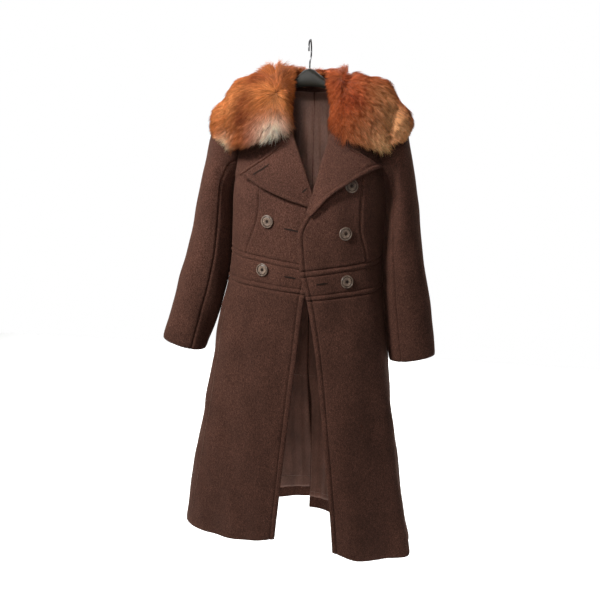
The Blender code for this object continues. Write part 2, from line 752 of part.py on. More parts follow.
def collar_surfaces():
    """The fur's under and upper grids, and the stand's outer and inner grids.

    Across the collar both fur grids start over the neck, inside the stand's top edge, and
    come down its outer face to the coat. From there the upper one stands off by COLLAR_HEIGHT.
    """
    points, normals, given = collar_grid()
    across = np.linspace(0, 1, points.shape[1])
    away_from = COLLAR_HUG + (given["clear"] - COLLAR_HUG) * np.clip(across * 5, 0, 1)
    height = column_at(COLLAR_HEIGHT, "share", "part", across)
    under = points + normals * away_from[..., None]
    over = under + normals * (given["thick"] * height)[..., None]
    up = np.array([0, 0, 1.0])
    inward = (np.array([BODY_CENTRE, 0, 0]) - points[:, 0]) * [1, 1, 0]
    inward /= np.linalg.norm(inward, axis=1)[:, None]
    top = under[:, 0] + up * (given["rise"] + 1 * MM)
    inside = top + inward * (STAND + FUR_TURN + FUR_TURN_LEAN * given["rise"])
    low = inside + inward * given["lap"] * 0.7 - up * given["lap"] * 0.3
    rim = low + inward * given["lap"] * 0.25 + up * (0.5 * CM + 0.35 * given["lap"])
    crown = inside + up * 1.1 * CM
    shoulder = (top + over[:, 0]) / 2 + up * 0.9 * CM
    under = np.concatenate([np.stack([low, inside, top], 1), under], 1)
    over = np.concatenate([np.stack([rim, crown, shoulder], 1), over], 1)
    some = given["rise"][:, 0] > STAND_FROM
    inward = inward[some]
    seat = under[some, 3] + inward * 0.9 * MM
    lean = (inward * FUR_TURN_LEAN + up) * (given["rise"][some] - STAND_SHORT)
    base = points[some, 0] + inward * 0.5 * MM + up * 1.5 * MM
    outer = np.stack([base, seat, seat + lean / 2, seat + lean], 1)
    return under, over, outer, outer + inward[:, None] * STAND


def add_collar():
    under, over, stand_outer, stand_inner = collar_surfaces()
    count = len(under)
    seam = len(COLLAR_FRONT["rise"])
    parts = {
        "left": slice(0, seam),
        "back": slice(seam - 1, count - seam + 1),
        "right": slice(count - seam, count),
    }
    for name, part in parts.items():
        top = draw_in(over[part], SEAM_GAP / 2)
        bottom = draw_in(under[part], SEAM_GAP / 2)
        fur = material(f"fur_{name}", "8A4526", 0.9)
        add_object(f"fur_collar_{name}", *shell(top, bottom), fur)
    wool = material("wool_stand", "4A342B", 0.95)
    add_object("collar_stand", *shell(stand_outer, stand_inner), wool)


def add_linings():
    """Thin linings inside the back and the skirt, held at their upper edges."""
    made = {}
    for side in ("left", "right"):
        bodice = np.maximum(back_columns(BODICE_ROWS)[:, :-1], 0.01)
        back = np.maximum(back_columns(LINING_ROWS)[:, :-1], 0.01)
        front = front_places(LINING_ROWS, 0, 2, 13)[:, 2:-1]
        all_rows = slice(None)
        made[f"back_{side}"] = (f"back_{side}", BODICE_ROWS, bodice, LINING_BACK_TAKES)
        made[f"skirt_back_{side}"] = (f"back_{side}", LINING_ROWS, back, all_rows)
        made[f"skirt_front_{side}"] = (f"front_{side}", LINING_ROWS, front, all_rows)
    for name, (panel, rows, u, takes) in made.items():
        row = np.broadcast_to(rows[:, None], u.shape)
        points = panel_point(panel, u, row)
        normals = grid_normals(points, body_centre(points))[takes]
        set_back = np.full(len(normals), LINING_SET_BACK)
        set_back[0] = LINING_SEAT
        outer = points[takes] - normals * (WOOL + set_back)[:, None, None]
        inner = outer - normals * LINING
        satin = material(f"satin_{name}", "50382F", 0.45)
        wall = shell(draw_in(outer, SEAM_GAP), draw_in(inner, SEAM_GAP))
        add_object(f"lining_{name}", *wall, satin)


def turned(profile, sides):
    """A profile of radius and height turned round Z, its ends on the axis."""
    angle = np.arange(sides) * 2 * math.pi / sides
    r = profile["r"][1:-1, None]
    z = profile["z"][1:-1, None]
    rings = np.stack([r * np.cos(angle), r * np.sin(angle), z + 0 * angle], -1)
    ends = [[0, 0, profile["z"][0]], [0, 0, profile["z"][-1]]]
    points = np.concatenate([rings.reshape(-1, 3), ends])
    index = np.arange(len(r) * sides).reshape(len(r), sides)
    ahead = np.roll(index, -1, 1)
    walls = np.stack([index[:-1], ahead[:-1], ahead[1:], index[1:]], -1)
    low = [[len(points) - 2, b, a] for a, b in zip(index[0], ahead[0])]
    high = [[len(points) - 1, a, b] for a, b in zip(index[-1], ahead[-1])]
    return points, walls.reshape(-1, 4).tolist() + low + high


def add_buttons():
    """One button with its four bores, then a copy of it at each place."""
    horn = material("horn", "5E5044", 0.35)
    blank = add_object("button_blank", *turned(BUTTON_PROFILE, BUTTON_SIDES), horn)
    for i in range(BUTTON_BORES):
        angle = 2 * math.pi * (i + 0.5) / BUTTON_BORES
        bore = turned(BUTTON_BORE, BUTTON_BORE_SIDES)
        cutter = add_object(f"button_bore_{i}", *bore, horn, smooth=False)
        cutter.location.x = BUTTON_BORE_OUT * math.cos(angle)
        cutter.location.y = BUTTON_BORE_OUT * math.sin(angle)
        cutter.hide_render = True
        cutter.display_type = "WIRE"
        cut = blank.modifiers.new(cutter.name, "BOOLEAN")
        cut.operation = "DIFFERENCE"
        cut.object = cutter
    bpy.context.view_layer.update()
    ready = blank.evaluated_get(bpy.context.evaluated_depsgraph_get())
    mesh = bpy.data.meshes.new_from_object(ready)
    mesh.name = "button"
    for item in [o for o in bpy.data.objects if o.name.startswith("button_b")]:
        bpy.data.objects.remove(item, do_unlink=True)
    for name, (panel, u, row) in BUTTONS.items():
        place = np.array([[u]]), np.array([[row]])
        normal = Vector(panel_normal(panel, *place)[0, 0])
        made = bpy.data.objects.new(name, mesh)
        made.rotation_euler = normal.to_track_quat("Z", "Y").to_euler()
        made.location = Vector(panel_point(panel, *place)[0, 0]) + normal * BUTTON_SEAT
        bpy.context.scene.collection.objects.link(made)


def loft(rings):
    """A closed body through rings that turn anticlockwise seen from the far end, with flat ends."""
    count, sides = rings.shape[:2]
    index = np.arange(count * sides).reshape(count, sides)
    ahead = np.roll(index, -1, 1)
    walls = np.stack([index[:-1], ahead[:-1], ahead[1:], index[1:]], -1)
    ends = [index[0, ::-1].tolist(), index[-1].tolist()]
    return rings.reshape(-1, 3), walls.reshape(-1, 4).tolist() + ends


def add_hanger():
    """The moulded hanger, lofted from tip to tip, and its wire hook in the plane x = 0."""
    right = np.stack([HANGER[n] for n in ("x", "top", "bottom", "half")], -1)
    left = right[:0:-1] * [-1, 1, 1, 1]
    x, top, bottom, half = np.concatenate([left, right]).T[..., None]
    angle = np.arange(HANGER_SIDES) * 2 * math.pi / HANGER_SIDES
    squared = np.sign(np.cos(angle)) * np.abs(np.cos(angle)) ** HANGER_ROUND
    upright = (top + bottom) / 2 + (top - bottom) / 2 * np.sin(angle)
    rings = np.stack([x + 0 * angle, half * squared, upright], -1)
    black = material("polypropylene", "2E2C25", 0.4)
    add_object("hanger_body", *loft(rings), black)
    arc = np.linspace(HOOK_START, HOOK_END, HOOK_STEPS)
    bend = HOOK_RADIUS * np.stack([np.cos(arc), np.sin(arc)], -1)
    bend[:, 1] += HOOK_WIRE - HOOK_RADIUS
    path = np.concatenate([np.stack([HOOK_STEM["y"], HOOK_STEM["z"]], -1), bend])
    ahead = np.gradient(path, axis=0)
    ahead /= np.linalg.norm(ahead, axis=1)[:, None]
    across = np.stack([-ahead[:, 1], ahead[:, 0]], -1)[:, None]
    angle = np.arange(HOOK_SIDES)[:, None] * 2 * math.pi / HOOK_SIDES
    rings = np.zeros((len(path), HOOK_SIDES, 3))
    rings[..., :1] = HOOK_WIRE * np.cos(angle)
    rings[..., 1:] = path[:, None] - HOOK_WIRE * np.sin(angle) * across
    add_object("hanger_hook", *loft(rings), material("steel_wire", "3A3A3A", 0.35, 1.0))


def clear_scene():
    for item in list(bpy.data.objects):
        bpy.data.objects.remove(item, do_unlink=True)


def main():
    clear_scene()
    add_cloth()
    add_linings()
    add_lapels()
    add_collar()
    add_buttons()
    add_hanger()


main()
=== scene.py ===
"""A brown wool coat with a red fox collar on a black hanger, dressed over its solids.

Each cloth piece is a thin closed wall on the same surface as its solid, worked out from
the same tables: rows run round the coat from the shoulder seam (0) to the hem (11), and
u runs along a panel from its inner edge (0) to the armhole or side seam (1).
Lengths are in metres, +X to the viewer's right, -Y towards the viewer, +Z up.
"""

import math

import bpy
import numpy as np
from mathutils import Matrix


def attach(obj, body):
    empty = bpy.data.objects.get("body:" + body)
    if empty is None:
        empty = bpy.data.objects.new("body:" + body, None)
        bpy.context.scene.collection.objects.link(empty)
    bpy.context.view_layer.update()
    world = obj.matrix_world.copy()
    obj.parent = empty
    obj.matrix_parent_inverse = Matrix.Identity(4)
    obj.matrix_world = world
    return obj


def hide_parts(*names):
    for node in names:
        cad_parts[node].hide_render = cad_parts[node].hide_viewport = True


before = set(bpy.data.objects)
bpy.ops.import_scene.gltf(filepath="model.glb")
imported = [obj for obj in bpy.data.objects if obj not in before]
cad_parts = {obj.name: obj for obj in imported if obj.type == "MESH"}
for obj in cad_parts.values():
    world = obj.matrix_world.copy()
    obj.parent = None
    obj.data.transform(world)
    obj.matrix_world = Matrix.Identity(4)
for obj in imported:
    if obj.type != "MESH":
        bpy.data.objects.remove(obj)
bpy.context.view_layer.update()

CM = 0.01
MM = 0.001

WOOL = 2.6 * MM  # coating cloth with its fused interlining
SATIN_THICK = 0.8 * MM
LINING_SEAT = 1.0 * MM  # how far the lining lies behind the wool at its upper edge
LINING_SET_BACK = 6.0 * MM  # and how far lower down

BODY_CENTRE = 0.4 * CM  # where the body's upright centre line stands in x
SIDE_POWER = 0.84  # below 1 the body's sections are fuller than a true ellipse

HOOK_WIRE = 1.75 * MM
HOOK_RADIUS = 22.0 * MM


COUNTED = "row ring u part full share edge_row start_u start end_u end dip turn".split()


def table(heading, *rows):
    """Columns by name. Lengths are written in centimetres and come back in metres."""
    names = heading.split()
    columns = dict(zip(names, np.array(rows, float).T))
    return {n: c if n in COUNTED else c * CM for n, c in columns.items()}


# The free front edges. Above the break they are the lines where the lapels roll over.
FRONT_LEFT = table(
    "row x y z",
    (0, -6.9, 0.0, -9.3),
    (0.25, -6.7, -1.6, -9.7),
    (0.5, -6.3, -3.6, -10.9),
    (1, -5.2, -7.0, -14.3),
    (2, -2.4, -10.4, -21.5),
    (3, 0.8, -11.8, -29.2),
    (4, 3.3, -12.2, -37.0),
    (5, 4.0, -12.0, -43.5),
    (6, 3.4, -11.8, -50.4),
    (7, 1.8, -11.8, -57.0),
    (8, 0.4, -12.0, -70.4),
    (9, -1.6, -12.5, -91.4),
    (10, -2.9, -12.9, -107.0),
    (11, -3.8, -13.2, -117.6),
)
FRONT_RIGHT = table(
    "row x y z",
    (0, 7.6, 0.0, -9.56),
    (0.25, 7.7, -1.6, -10.0),
    (0.5, 7.8, -3.6, -11.2),
    (1, 7.7, -7.0, -14.6),
    (2, 6.6, -10.8, -21.5),
    (3, 4.7, -12.7, -29.5),
    (4, 2.5, -13.6, -37.8),
    (5, 0.1, -13.6, -43.6),
    (6, 0.8, -13.2, -51.6),
    (7, 2.5, -12.9, -58.2),
    (8, 4.7, -12.8, -70.0),
    (9, 7.4, -13.1, -91.5),
    (10, 9.2, -13.4, -106.5),
    (11, 10.5, -13.8, -119.4),
)
# The centre back seam, then the two edges of the vent, where the right half swings forward.
BACK_SEAM = (
    (0, 0.4, 6.6, -10.0),
    (0.25, 0.4, 6.9, -11.0),
    (0.5, 0.4, 7.3, -12.3),
    (1, 0.4, 7.9, -15.2),
    (2, 0.4, 8.6, -22.4),
    (3, 0.4, 8.7, -30.4),
    (4, 0.4, 8.1, -37.2),
    (5, 0.4, 7.0, -43.0),
    (6, 0.4, 6.3, -47.6),
    (7, 0.4, 6.9, -53.8),
    (8, 0.4, 9.2, -68.0),
    (8.5, 0.4, 10.1, -79.0),
)
VENT_LEFT = ((9, 1.0, 11.6, -91.0), (10, 2.6, 12.7, -107.5), (11, 3.6, 13.4, -119.4))
VENT_RIGHT = ((9, 1.6, 10.3, -91.0), (10, 2.0, 9.2, -107.5), (11, 2.1, 8.2, -120.2))
BACK_LEFT = table("row x y z", *BACK_SEAM, *VENT_LEFT)
BACK_RIGHT = table("row x y z", *BACK_SEAM, *VENT_RIGHT)
# The side seams below the underarm.
SIDE_LEFT = table(
    "row x y z",
    (3, -17.0, 0.0, -31.5),
    (4, -17.4, 0.0, -38.0),
    (5, -17.4, 0.0, -43.4),
    (6, -17.6, 0.0, -47.1),
    (7, -18.5, 0.2, -54.6),
    (8, -21.5, 0.4, -68.0),
    (9, -25.0, 0.9, -90.0),
    (10, -27.8, 1.2, -106.5),
    (11, -29.4, 1.5, -119.4),
)
SIDE_RIGHT = table(
    "row x y z",
    (3, 18.4, 0.0, -31.5),
    (4, 18.9, 0.0, -38.2),
    (5, 18.8, 0.0, -43.7),
    (6, 18.75, 0.0, -47.8),
    (7, 19.1, 0.0, -55.2),
    (8, 20.6, -0.4, -68.2),
    (9, 23.6, -0.8, -90.2),
    (10, 26.4, -1.2, -107.2),
    (11, 29.0, -1.6, -120.6),
)
# How far each section bows from a straight line to a full quarter round.
BOW = table(
    "row full",
    (0, 0.0),
    (0.25, 0.15),
    (0.5, 0.35),
    (1, 0.7),
    (2, 0.8),
    (3, 1.0),
    (11, 1.0),
)
# The back neck: where the neck's arc meets the shoulder line, and the rows just below it.
NECK_SHARE = 0.42
NECK_LEFT = table(
    "row x y z",
    (0, -6.9, 0.0, -9.3),
    (0.25, -7.2, 2.0, -9.9),
    (0.5, -7.7, 4.0, -11.2),
)
NECK_RIGHT = table(
    "row x y z",
    (0, 7.6, 0.0, -9.56),
    (0.25, 7.9, 2.0, -10.2),
    (0.5, 8.4, 4.0, -11.5),
)
# The soft folds of the skirt: place along the panel, half-width there, and height at the hem.
FOLDS = {
    "front_left": table(
        "u share depth",
        (0.16, 0.10, 0.5),
        (0.50, 0.13, -0.8),
        (0.80, 0.10, 1.1),
    ),
    "front_right": table(
        "u share depth",
        (0.22, 0.12, 0.6),
        (0.52, 0.12, -0.7),
        (0.76, 0.09, 1.5),
        (0.93, 0.05, -0.9),
    ),
    "back_left": table(
        "u share depth",
        (0.30, 0.11, -1.5),
        (0.56, 0.10, 1.2),
        (0.82, 0.08, -1.0),
    ),
    "back_right": table(
        "u share depth",
        (0.26, 0.11, -1.4),
        (0.52, 0.10, 1.3),
        (0.80, 0.08, -1.1),
    ),
}
FOLD_ROWS = (7.4, 11.0)
HEM_SAG = table("row front back", (7, 0.0, 0.0), (9, -0.3, -0.2), (11, -1.4, -0.6))
# The seam that shapes the front runs from the armhole's side over the bust to the waistband.
PRINCESS = table("row share", (0, 0.52), (3, 0.43), (4, 0.48), (6, 0.61), (11, 0.61))

# The sleeves: the outer and inner points of each ring, its half depth front to back, the
# place of its centre front to back, and how far the armhole curves in towards the body.
SLEEVE_LEFT = table(
    "ring out_x out_z in_x in_z y depth tuck",
    (0, -18.4, -13.78, -17.0, -31.5, 0.0, 5.7, 2.6),
    (1, -20.9, -15.4, -17.3, -32.6, 0.0, 6.7, 1.3),
    (2, -22.4, -19.4, -17.6, -34.2, 0.0, 7.2, 0.4),
    (3, -23.7, -24.8, -18.0, -36.5, 0.0, 7.3, 0.0),
    (4, -25.4, -32.0, -18.0, -41.0, -0.1, 7.2, 0.0),
    (5, -27.6, -42.0, -18.1, -48.0, -0.3, 6.8, 0.0),
    (6, -30.3, -53.0, -19.5, -57.0, -0.9, 6.1, 0.0),
    (7, -32.7, -62.6, -21.9, -65.6, -1.5, 5.4, 0.0),
    (8, -34.9, -70.9, -24.1, -73.6, -2.2, 4.6, 0.0),
)
SLEEVE_RIGHT = table(
    "ring out_x out_z in_x in_z y depth tuck",
    (0, 18.8, -13.93, 18.4, -31.5, 0.0, 5.7, 2.3),
    (1, 21.2, -15.6, 18.8, -32.6, 0.0, 6.7, 1.2),
    (2, 22.9, -19.6, 19.2, -34.2, 0.0, 7.2, 0.4),
    (3, 24.0, -24.8, 19.25, -36.5, 0.0, 7.3, 0.0),
    (4, 25.4, -32.0, 19.25, -41.0, -0.1, 7.2, 0.0),
    (5, 27.2, -42.0, 19.15, -48.0, -0.3, 6.8, 0.0),
    (6, 29.1, -53.0, 19.6, -57.0, -0.9, 6.1, 0.0),
    (7, 30.9, -62.4, 20.6, -65.2, -1.5, 5.4, 0.0),
    (8, 32.4, -71.2, 21.7, -73.4, -2.2, 4.6, 0.0),
)
SLEEVES = {"left": SLEEVE_LEFT, "right": SLEEVE_RIGHT}
# The lapels: a row for each step down the roll line, with the place where it meets the
# outer edge, from the point of the lapel to the break.
LAPEL_LEFT = table(
    "part row u edge_row",
    (0.0, 1.90, 0.60, 2.85),
    (0.33, 2.60, 0.40, 3.38),
    (0.66, 3.30, 0.215, 3.74),
    (1.0, 3.96, 0.035, 4.02),
)
LAPEL_RIGHT = table(
    "part row u edge_row",
    (0.0, 1.90, 0.71, 2.43),
    (0.3, 2.60, 0.475, 2.80),
    (0.55, 3.15, 0.30, 3.20),
    (0.8, 3.65, 0.125, 3.66),
    (1.0, 4.12, 0.03, 4.20),
)
LAPELS = {"left": LAPEL_LEFT, "right": LAPEL_RIGHT}
LAPEL_LIFT = 11.0 * MM  # how far the free edge stands off the front
LAPEL_LONG = 0.27  # about its length down the roll and its width across, in metres
LAPEL_WIDE = 0.12
ROLL = 4.4 * MM  # radius of the roll line, from its middle to the lapel's outer face
ROLL_HEIGHT = -0.2 * MM  # of the roll's middle over the front's outer face

# The fur collar: a row for each line across it, from the neck's edge over the front, the
# shoulder and the sleeve's head, or down the back. start_u and start give its place on
# the panel's inner edge, end_u and end where it leaves the panel, dip how far it bends
# down between, ring and turn (degrees) where it ends on the sleeve, and thick its height.
COLLAR_FRONT = table(
    "start_u start end_u end dip ring turn thick rise lap clear",
    (0, 1.80, 1, 1.88, 0.36, 2.0, 74, 1.6, 0.3, 0.3, 2.3),
    (0, 1.66, 1, 1.78, 0.32, 2.3, 68, 3.6, 0.5, 0.6, 2.0),
    (0, 1.30, 1, 1.45, 0.16, 2.5, 54, 4.8, 0.9, 1.2, 0.9),
    (0, 0.85, 1, 1.00, 0.0, 2.4, 38, 5.0, 1.4, 2.0, 0.7),
    (0, 0.35, 1, 0.50, 0.0, 2.3, 20, 4.8, 2.4, 2.6, 0.7),
    (0, 0.0, 1, 0.0, 0.0, 2.2, 0, 4.6, 3.0, 2.0, 0.7),
)
COLLAR_BACK = table(
    "start_u start end_u end dip ring turn thick rise lap clear",
    (0.32, 0, 1, 0.50, 0.0, 2.2, -20, 4.4, 3.0, 1.6, 0.9),
    (0.22, 0, 1, 1.00, 0.0, 2.0, -44, 4.2, 3.0, 1.3, 1.2),
    (0.13, 0, 1, 1.60, 0.0, 1.0, -80, 4.2, 3.0, 1.2, 1.2),
    (0.06, 0, 0.55, 1.95, 0.0, 0, 0, 4.2, 3.0, 1.2, 0.9),
    (0.0, 0, 0.0, 2.05, 0.0, 0, 0, 4.2, 3.0, 1.2, 0.9),
)
# The fur's height across the collar, as a share of its greatest height.
COLLAR_HEIGHT = table(
    "share part",
    (0, 0.62),
    (0.2, 1.0),
    (0.4, 1.0),
    (0.62, 0.74),
    (0.8, 0.5),
    (0.92, 0.34),
    (1, 0.12),
)
COLLAR_HUG = 2.5 * MM  # the fur's clearance at the neck, where the stand carries it
FUR_TURN = 3.5 * MM  # room between the stand's inner face and the fur that rolls over it
FUR_TURN_LEAN = 0.25  # and how much of its rise the fur leans inwards
STAND = 4.0 * MM  # thickness of the collar's stand
STAND_FROM = 1.0 * CM  # the stand is built where it rises more than this
STAND_SHORT = 1.2 * MM  # the stand's top edge stays this far under the fur

# The buttons: the panel each is sewn to, and its place there.
BUTTONS = {
    "button_top_left": ("front_left", 0.36, 3.05),
    "button_top_right": ("front_right", 0.325, 3.30),
    "button_upper_left": ("front_left", 0.405, 4.53),
    "button_upper_right": ("front_right", 0.40, 4.84),
    "button_waist_left": ("front_left", 0.42, 6.45),
    "button_waist_right": ("front_right", 0.40, 6.53),
}

# The hanger: its top and bottom line and half its depth, from the middle outwards.
HANGER = table(
    "x top bottom half",
    (0.0, -6.1, -10.1, 0.85),
    (1.2, -6.6, -10.15, 0.85),
    (2.5, -7.6, -10.3, 0.8),
    (3.9, -8.6, -10.6, 0.7),
    (5.4, -9.25, -10.95, 0.6),
    (7.2, -9.73, -11.35, 0.5),
    (10.0, -10.82, -12.3, 0.5),
    (13.5, -12.19, -13.6, 0.5),
    (16.6, -13.4, -14.7, 0.5),
    (17.3, -13.9, -14.5, 0.25),
)
HANGER_SIDES = 32
HANGER_ROUND = 0.8  # the power that squares the hanger's section a little
HOOK_STEM = table("y z", (0, -6.04), (0, -5.2), (0.3, -4.55))
HOOK_START = math.radians(-62)
HOOK_END = math.radians(200)


def unit(vectors):
    """The same directions, each at length 1."""
    return vectors / np.maximum(np.linalg.norm(vectors, axis=-1, keepdims=True), 1e-12)


def lengths_along(points):
    """The length of a line from its start to each of its points."""
    return np.concatenate([[0], np.cumsum(np.linalg.norm(np.diff(points, axis=0), axis=1))])


def read_line(at, length, values):
    """A line's points or directions, read at lengths between those given for them."""
    return np.stack([np.interp(at, length, values[:, i]) for i in range(3)], -1)


def spline(knots, values, at):
    """A cubic through the knots that never overshoots them, along the first axis."""
    knots = np.asarray(knots, float)
    values = np.asarray(values, float)
    at = np.asarray(at, float)
    step = np.diff(knots)
    wide = step.reshape(-1, *[1] * (values.ndim - 1))
    rise = np.diff(values, axis=0) / wide
    slope = np.zeros_like(values)
    before = 2 * wide[1:] + wide[:-1]
    after = wide[1:] + 2 * wide[:-1]
    same_way = rise[1:] * rise[:-1] > 0
    first = np.where(same_way, rise[:-1], 1.0)
    second = np.where(same_way, rise[1:], 1.0)
    mean = (before + after) / (before / first + after / second)
    slope[1:-1] = np.where(same_way, mean, 0.0)
    slope[0] = rise[0]
    slope[-1] = rise[-1]
    index = np.clip(np.searchsorted(knots, at, side="right") - 1, 0, len(knots) - 2)
    part = (at - knots[index]) / step[index]
    extra = values.ndim - 1 - index.ndim
    shape = index.reshape(1, *index.shape, *[1] * extra)
    part = part.reshape(*index.shape, *[1] * extra)
    size = step[index].reshape(part.shape)

    def take(array, offset):
        wanted = np.broadcast_to(shape + offset, (1, *array.shape[1:]))
        return np.take_along_axis(array, wanted, 0)[0]

    square = part * part
    cube = square * part
    return (
        take(values, 0) * (2 * cube - 3 * square + 1)
        + take(slope, 0) * size * (cube - 2 * square + part)
        + take(values, 1) * (3 * square - 2 * cube)
        + take(slope, 1) * size * (cube - square)
    )


def points_of(columns):
    return np.stack([columns["x"], columns["y"], columns["z"]], -1)


def line_at(columns, at):
    """The point of a line's table at each row asked for."""
    at = np.atleast_1d(np.asarray(at, float))
    values = np.broadcast_to(points_of(columns)[:, None], (len(columns["row"]), len(at), 3))
    return spline(columns["row"], values, at)


def column_at(columns, key, name, at):
    """One column of a table, read at any values of its key column."""
    wanted = np.ravel(at)
    values = np.broadcast_to(columns[name][:, None], (len(columns[key]), len(wanted)))
    return spline(columns[key], values, wanted).reshape(np.shape(at))


def sleeve_point(sleeve, ring, turn):
    """Each ring is an ellipse from its outer point (turn 0) round the front to its inner point."""
    ring = np.asarray(ring, float)
    part = {n: column_at(sleeve, "ring", n, ring) for n in sleeve if n != "ring"}
    inward = -np.sign(part["out_x"]) * part["tuck"] * np.sin(turn) ** 2
    x = (part["out_x"] + part["in_x"]) / 2 + (part["out_x"] - part["in_x"]) / 2 * np.cos(turn)
    y = part["y"] - part["depth"] * np.sin(turn)
    z = (part["out_z"] + part["in_z"]) / 2 + (part["out_z"] - part["in_z"]) / 2 * np.cos(turn)
    return np.stack([x + inward, y, z], -1)


def outer_line(sleeve, side, back, at):
    """Down the armhole from the shoulder to the underarm, then down the side seam."""
    turn = np.minimum(at, 3.0) * math.radians(60) * (-1 if back else 1)
    hole = sleeve_point(sleeve, np.zeros_like(at), turn)
    seam = line_at(side, np.maximum(at, 3.0))
    return np.where((at <= 3.0)[:, None], hole, seam)


def evenly(curve, count):
    """The same curve at equal steps of its length."""
    length = lengths_along(curve)
    return read_line(np.linspace(0, length[-1], count), length, curve)


def quarter(start, end, full, steps):
    """From start to end as a quarter round in plan, or straight where full is 0."""
    angle = np.linspace(0, math.pi / 2, steps)
    across = np.sin(angle) ** SIDE_POWER
    along = np.cos(angle) ** SIDE_POWER
    straight = np.linspace(0, 1, steps)
    x = start[0] + (end[0] - start[0]) * (full * across + (1 - full) * straight)
    y = end[1] + (start[1] - end[1]) * (full * along + (1 - full) * (1 - straight))
    return evenly(np.stack([x, y, np.zeros_like(x)], -1), steps)


DENSE = 161
PANELS = {
    "front_left": (FRONT_LEFT, SIDE_LEFT, SLEEVE_LEFT, None),
    "front_right": (FRONT_RIGHT, SIDE_RIGHT, SLEEVE_RIGHT, None),
    "back_left": (BACK_LEFT, SIDE_LEFT, SLEEVE_LEFT, NECK_LEFT),
    "back_right": (BACK_RIGHT, SIDE_RIGHT, SLEEVE_RIGHT, NECK_RIGHT),
}


def sections(name):
    """Each row's section of a panel, from its inner line to the armhole or side seam."""
    inner, side, sleeve, neck = PANELS[name]
    knots = np.concatenate([np.arange(0, 3, 0.25), [3, 4, 5, 6, 7, 8, 8.5, 9, 10, 11]])
    starts = line_at(inner, knots)
    ends = outer_line(sleeve, side, neck is not None, knots)
    share = np.linspace(0, 1, DENSE)
    grow = np.clip((knots - FOLD_ROWS[0]) / (FOLD_ROWS[1] - FOLD_ROWS[0]), 0, 1) ** 1.3
    sag = column_at(HEM_SAG, "row", "back" if neck else "front", np.maximum(knots, 7.0))
    found = []
    for i, row in enumerate(knots):
        if neck and row <= 0.5:
            corner = line_at(neck, [row])[0]
            turn = round(NECK_SHARE * (DENSE - 1)) + 1
            first = quarter(starts[i], corner, 1.0, turn)
            first[:, 2] = np.linspace(starts[i][2], corner[2], turn)
            rest = np.linspace(corner, ends[i], DENSE - turn + 1)[1:]
            curve = np.concatenate([first, rest])
        else:
            curve = quarter(starts[i], ends[i], column_at(BOW, "row", "full", row), DENSE)
            curve[:, 2] = starts[i][2] + (ends[i][2] - starts[i][2]) * share
            curve[:, 2] += sag[i] * np.sin(math.pi * share)
        ahead = unit(np.gradient(curve[:, :2], axis=0))
        out = np.stack([ahead[:, 1], -ahead[:, 0]], -1)
        out *= np.sign((out * (curve[:, :2] - [BODY_CENTRE, 0])).sum())
        fold = FOLDS[name]
        height = sum(
            d * np.exp(-(((share - u) / w) ** 2))
            for u, w, d in zip(fold["u"], fold["share"], fold["depth"])
        )
        ends_fade = np.clip(np.minimum(share, 1 - share) * 8, 0, 1)
        curve[:, :2] += out * (height * grow[i] * ends_fade)[:, None]
        found.append(curve)
    return knots, np.array(found)


SECTIONS = {name: sections(name) for name in PANELS}


def panel_point(name, u, row):
    """A point of the body's outer surface, for arrays of places along and rows down it."""
    knots, curves = SECTIONS[name]
    place = np.clip(u, 0, 1) * (DENSE - 1)
    low = np.minimum(place.astype(int), DENSE - 2)
    part = (place - low)[..., None]
    values = curves[:, low] * (1 - part) + curves[:, low + 1] * part
    return spline(knots, values, row)


def away(normals, points, centre):
    """Turns a grid's normals to point away from a centre line."""
    return normals * np.sign((normals * (points - centre)).sum())


def grid_normals(points, centre):
    normals = np.cross(np.gradient(points, axis=0), np.gradient(points, axis=1))
    return away(unit(normals), points, centre)


def body_centre(points):
    """The point of the body's upright centre line at the height of each point."""
    return points * [0, 0, 1] + [BODY_CENTRE, 0, 0]


def panel_normal(name, u, row):
    """The outward direction at points of a panel, by small steps along it and down it."""
    step_u = 0.01
    step_row = 0.05
    low_u = np.clip(u - step_u, 0, 1)
    high_u = np.clip(u + step_u, 0, 1)
    low_row = np.clip(row - step_row, 0, 11)
    high_row = np.clip(row + step_row, 0, 11)
    along = panel_point(name, high_u, row) - panel_point(name, low_u, row)
    down = panel_point(name, u, high_row) - panel_point(name, u, low_row)
    points = panel_point(name, u, row)
    return away(unit(np.cross(down, along)), points, body_centre(points))


def draw_in(points, distance):
    """Moves the rim of a grid inwards along its own rows and columns."""
    moved = points.copy()
    for axis in (0, 1):
        grid = np.moveaxis(moved, axis, 0)
        for rim, inside in ((0, 1), (-1, -2)):
            way = grid[inside] - grid[rim]
            length = np.maximum(np.linalg.norm(way, axis=-1), 1e-9)[..., None]
            grid[rim] += way / length * np.minimum(distance, length / 3)
    return moved


def grid_faces(rows, columns):
    corner = np.arange(rows * columns).reshape(rows, columns)
    four = corner[:-1, :-1], corner[1:, :-1], corner[1:, 1:], corner[:-1, 1:]
    return np.stack(four, -1).reshape(-1, 4)


def collar_line(side, back, station, count=9):
    """One line across the collar, on the surface of the coat below it."""
    panel = f"{'back' if back else 'front'}_{side}"
    share = np.linspace(0, 1, 25)
    u = station["start_u"] + (station["end_u"] - station["start_u"]) * share
    row = station["start"] + (station["end"] - station["start"]) * share
    row = row + station["dip"] * np.sin(math.pi * share)
    line = panel_point(panel, u, row)
    if station["ring"] > 0:
        first = math.radians(60) * station["end"] * (-1 if back else 1)
        turn = first + (math.radians(station["turn"]) - first) * share
        over_sleeve = sleeve_point(SLEEVES[side], station["ring"] * share, turn)
        line = np.concatenate([line, over_sleeve[1:]])
    return evenly(line, count)


def stations_of(columns, names):
    for values in zip(*columns.values()):
        yield dict(zip(names, values))


